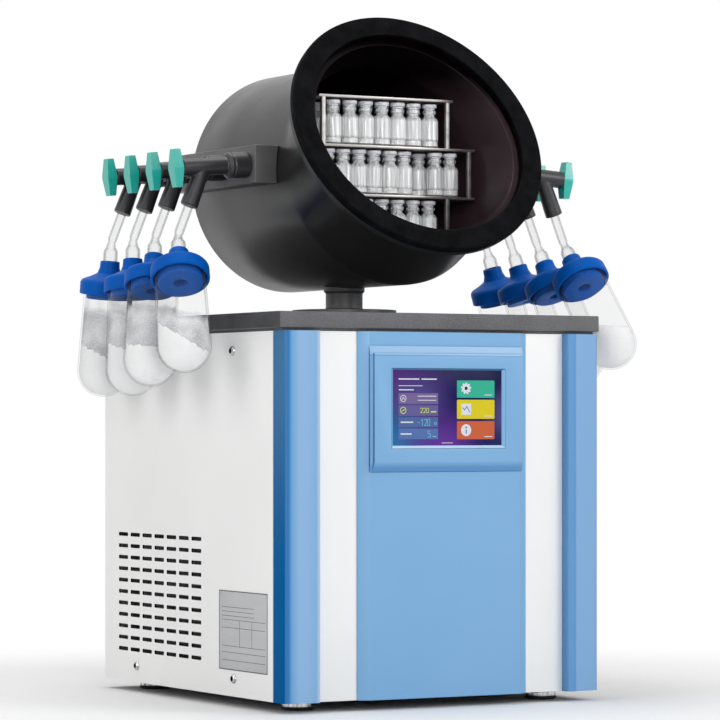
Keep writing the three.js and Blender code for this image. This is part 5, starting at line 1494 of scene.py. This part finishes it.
# The frost sets in over this share of the wall, up to this thickness.
FROST_EDGE, FROST_THICK = 0.12, 0.95
for side, number in stations:
    stand, seed = stood(side, number)
    level, slope, frost_level, frost_slope = FILLS[side, number]
    mesh = mesh_of(moved(flask_shape, stand), f"vessel_{side}_{number}")
    values = [0.0] * len(mesh.vertices)
    if frost_level:
        *_, heap_tops = surface_shares(stand, level, sloped(slope), WALL, seed)
        *_, frost_tops = surface_shares(stand, frost_level, sloped(frost_slope), WALL, seed + 5, 5)
        start = 1 + FLASK_STEPS * (len(outside) - 1 + len(lip_line))
        for row in range(WALL_ROWS - 1):
            share = (WALL_ROWS - 1 - row) / WALL_ROWS
            for i in range(FLASK_STEPS):
                if share > heap_tops[i][0] - 0.02:
                    depth = min(max((frost_tops[i][0] - share) / FROST_EDGE, 0.0), 1.0)
                    values[start + row * FLASK_STEPS + i] = FROST_THICK * depth
    mesh.attributes.new("frost", "FLOAT", "POINT").data.foreach_set("value", values)
    fixed(shown(f"vessel_{side}_{number}", mesh, flask_glass, 60), "clear_glass",
          f"flask_{side}_{number}")

# ---- Frozen powder ----
# White powder frozen in each flask, slumped to one side. It is coarse and dull, with a lumpy top.
powder_white = finish("frozen_powder", shade(247, 247, 248), shade(255, 255, 255), 1.8, (0.8, 0.95),
                      1.6, 0.7)


def filled_to(stand, level, surface_up, seed, wall=WALL + 0.25, rows=16, cover=14):
    """Powder in a flask up to a sloping surface. Its level is how far down the flask's axis the
    surface lies."""
    line, up, tops = surface_shares(stand, level, surface_up, wall, seed)
    rings = [[Vector((0, 0, line[0][1]))] * FLASK_STEPS]
    for k in range(1, rows + 1):
        rings.append([])
        for share, cosine, sine in tops:
            radius, height = wall_at(line, share * k / rows)
            rings[-1].append(Vector((radius * cosine, radius * sine, height)))
    rim = rings[-1]
    heart = sum(rim, Vector()) / FLASK_STEPS
    for k in range(1, cover):
        rings.append([])
        for spot in rim:
            spot = spot.lerp(heart, k / cover)
            swell = 1.8 * noise.noise(Vector((spot.x / 9 + seed, spot.y / 9, 1.7)))
            swell += 0.8 * noise.noise(Vector((spot.x / 3, spot.y / 3, seed)))
            rings[-1].append(spot + up * (swell + 1.2 * math.sin(math.pi * k / cover / 2)))
    rings.append([heart + up * 1.2] * FLASK_STEPS)
    points, faces = stacked(rings)
    return [p * MM for p in points], faces[:-2]


for side, number in stations:
    stand, seed = stood(side, number)
    level, slope, *_ = FILLS[side, number]
    heap = filled_to(stand, level, sloped(slope), seed)
    fixed(built(f"powder_{side}_{number}", moved(heap, stand), powder_white, 80), "white_paint")

# ---- Floor, light and camera ----
# A plain pale floor that fades to white, soft lamps from both sides and above, a narrow lamp on the
# mouth, and a level camera.


def lamp(name, place, target, size, power, spread_angle=180):
    """A rectangular lamp at a place, aimed at a target."""
    light = bpy.data.lights.new(name, "AREA")
    light.shape = "RECTANGLE"
    light.size, light.size_y = size
    light.energy = power
    light.spread = math.radians(spread_angle)
    thing = object_of(name, light)
    thing.location = place
    thing.rotation_euler = (Vector(target) - Vector(place)).to_track_quat("-Z", "Y").to_euler()


def seen_share(material):
    """1 for the camera's, glossy and transmission rays, and 0 for those that light the object."""
    rays = node(material, "LightPath", {}).outputs
    seen = combined(material, "MAXIMUM", rays["Is Camera Ray"], rays["Is Glossy Ray"])
    return combined(material, "MAXIMUM", seen, rays["Is Transmission Ray"])


floor_finish = blank_finish("pale_floor", {"Roughness": 0.85, "Specular IOR Level": 0.1})
space = space_of(floor_finish)
tone = between(floor_finish, spread(floor_finish, patches(floor_finish, space, 700), 0, 1),
               shade(244, 244, 244), shade(247, 247, 247))
set_shader(floor_finish, {"Base Color": tone})
distance = node(floor_finish, "VectorMath", {0: space}, operation="LENGTH").outputs["Value"]
far = ramp(floor_finish, distance, 0.38, 1.05, kind="SMOOTHSTEP")
white = node(floor_finish, "Emission", {"Color": (1, 1, 1, 1), "Strength": 1.0}).outputs[0]
tree = floor_finish.node_tree
blend = node(floor_finish, "MixShader", {
    0: combined(floor_finish, "MULTIPLY", seen_share(floor_finish), far)})
tree.links.new(tree.nodes["Principled BSDF"].outputs[0], blend.inputs[1])
tree.links.new(white, blend.inputs[2])
tree.links.new(blend.outputs[0], tree.nodes["Material Output"].inputs[0])
FLOOR_HALF = 30.0
corners = [(x * FLOOR_HALF, y * FLOOR_HALF, 0) for x, y in ((-1, -1), (1, -1), (1, 1), (-1, 1))]
floor = built("floor", (corners, [(0, 1, 2, 3)]), floor_finish)

world = bpy.data.worlds.new("studio")
bpy.context.scene.world = world
world.use_nodes = True
backdrop = world.node_tree.nodes["Background"]
fill(world.node_tree, backdrop, {"Color": (1, 1, 1, 1),
                                 "Strength": ramp(world, seen_share(world), 0, 1, 0.32, 1.0)})

centre = (0, 0, 0.45)
lamp("front_right_softbox", (1.9, -2.6, 1.9), centre, (1.6, 1.6), 38)
lamp("front_left_softbox", (-1.3, -3.2, 1.0), (0, -0.1, 0.6), (1.0, 1.0), 24)
lamp("left_softbox", (-2.6, -0.4, 1.3), centre, (1.2, 1.8), 16)
lamp("overhead_softbox", (-0.2, 0.3, 2.9), centre, (1.8, 1.8), 38)
lamp("mouth_softbox", (-0.75, -1.5, 1.2), (0, -0.15, 0.7), (0.3, 0.3), 0.11, spread_angle=22)

camera = bpy.data.cameras.new("camera")
camera.lens, camera.sensor_width = 175, 36
camera.shift_y = 0.0806
viewer = object_of("camera", camera)
viewer.location = (-2.2264, -3.9637, 0.3573)
viewer.rotation_euler = (math.radians(90), 0, math.radians(-29.5))
bpy.context.scene.camera = viewer
bpy.context.scene.view_settings.view_transform = "Standard"
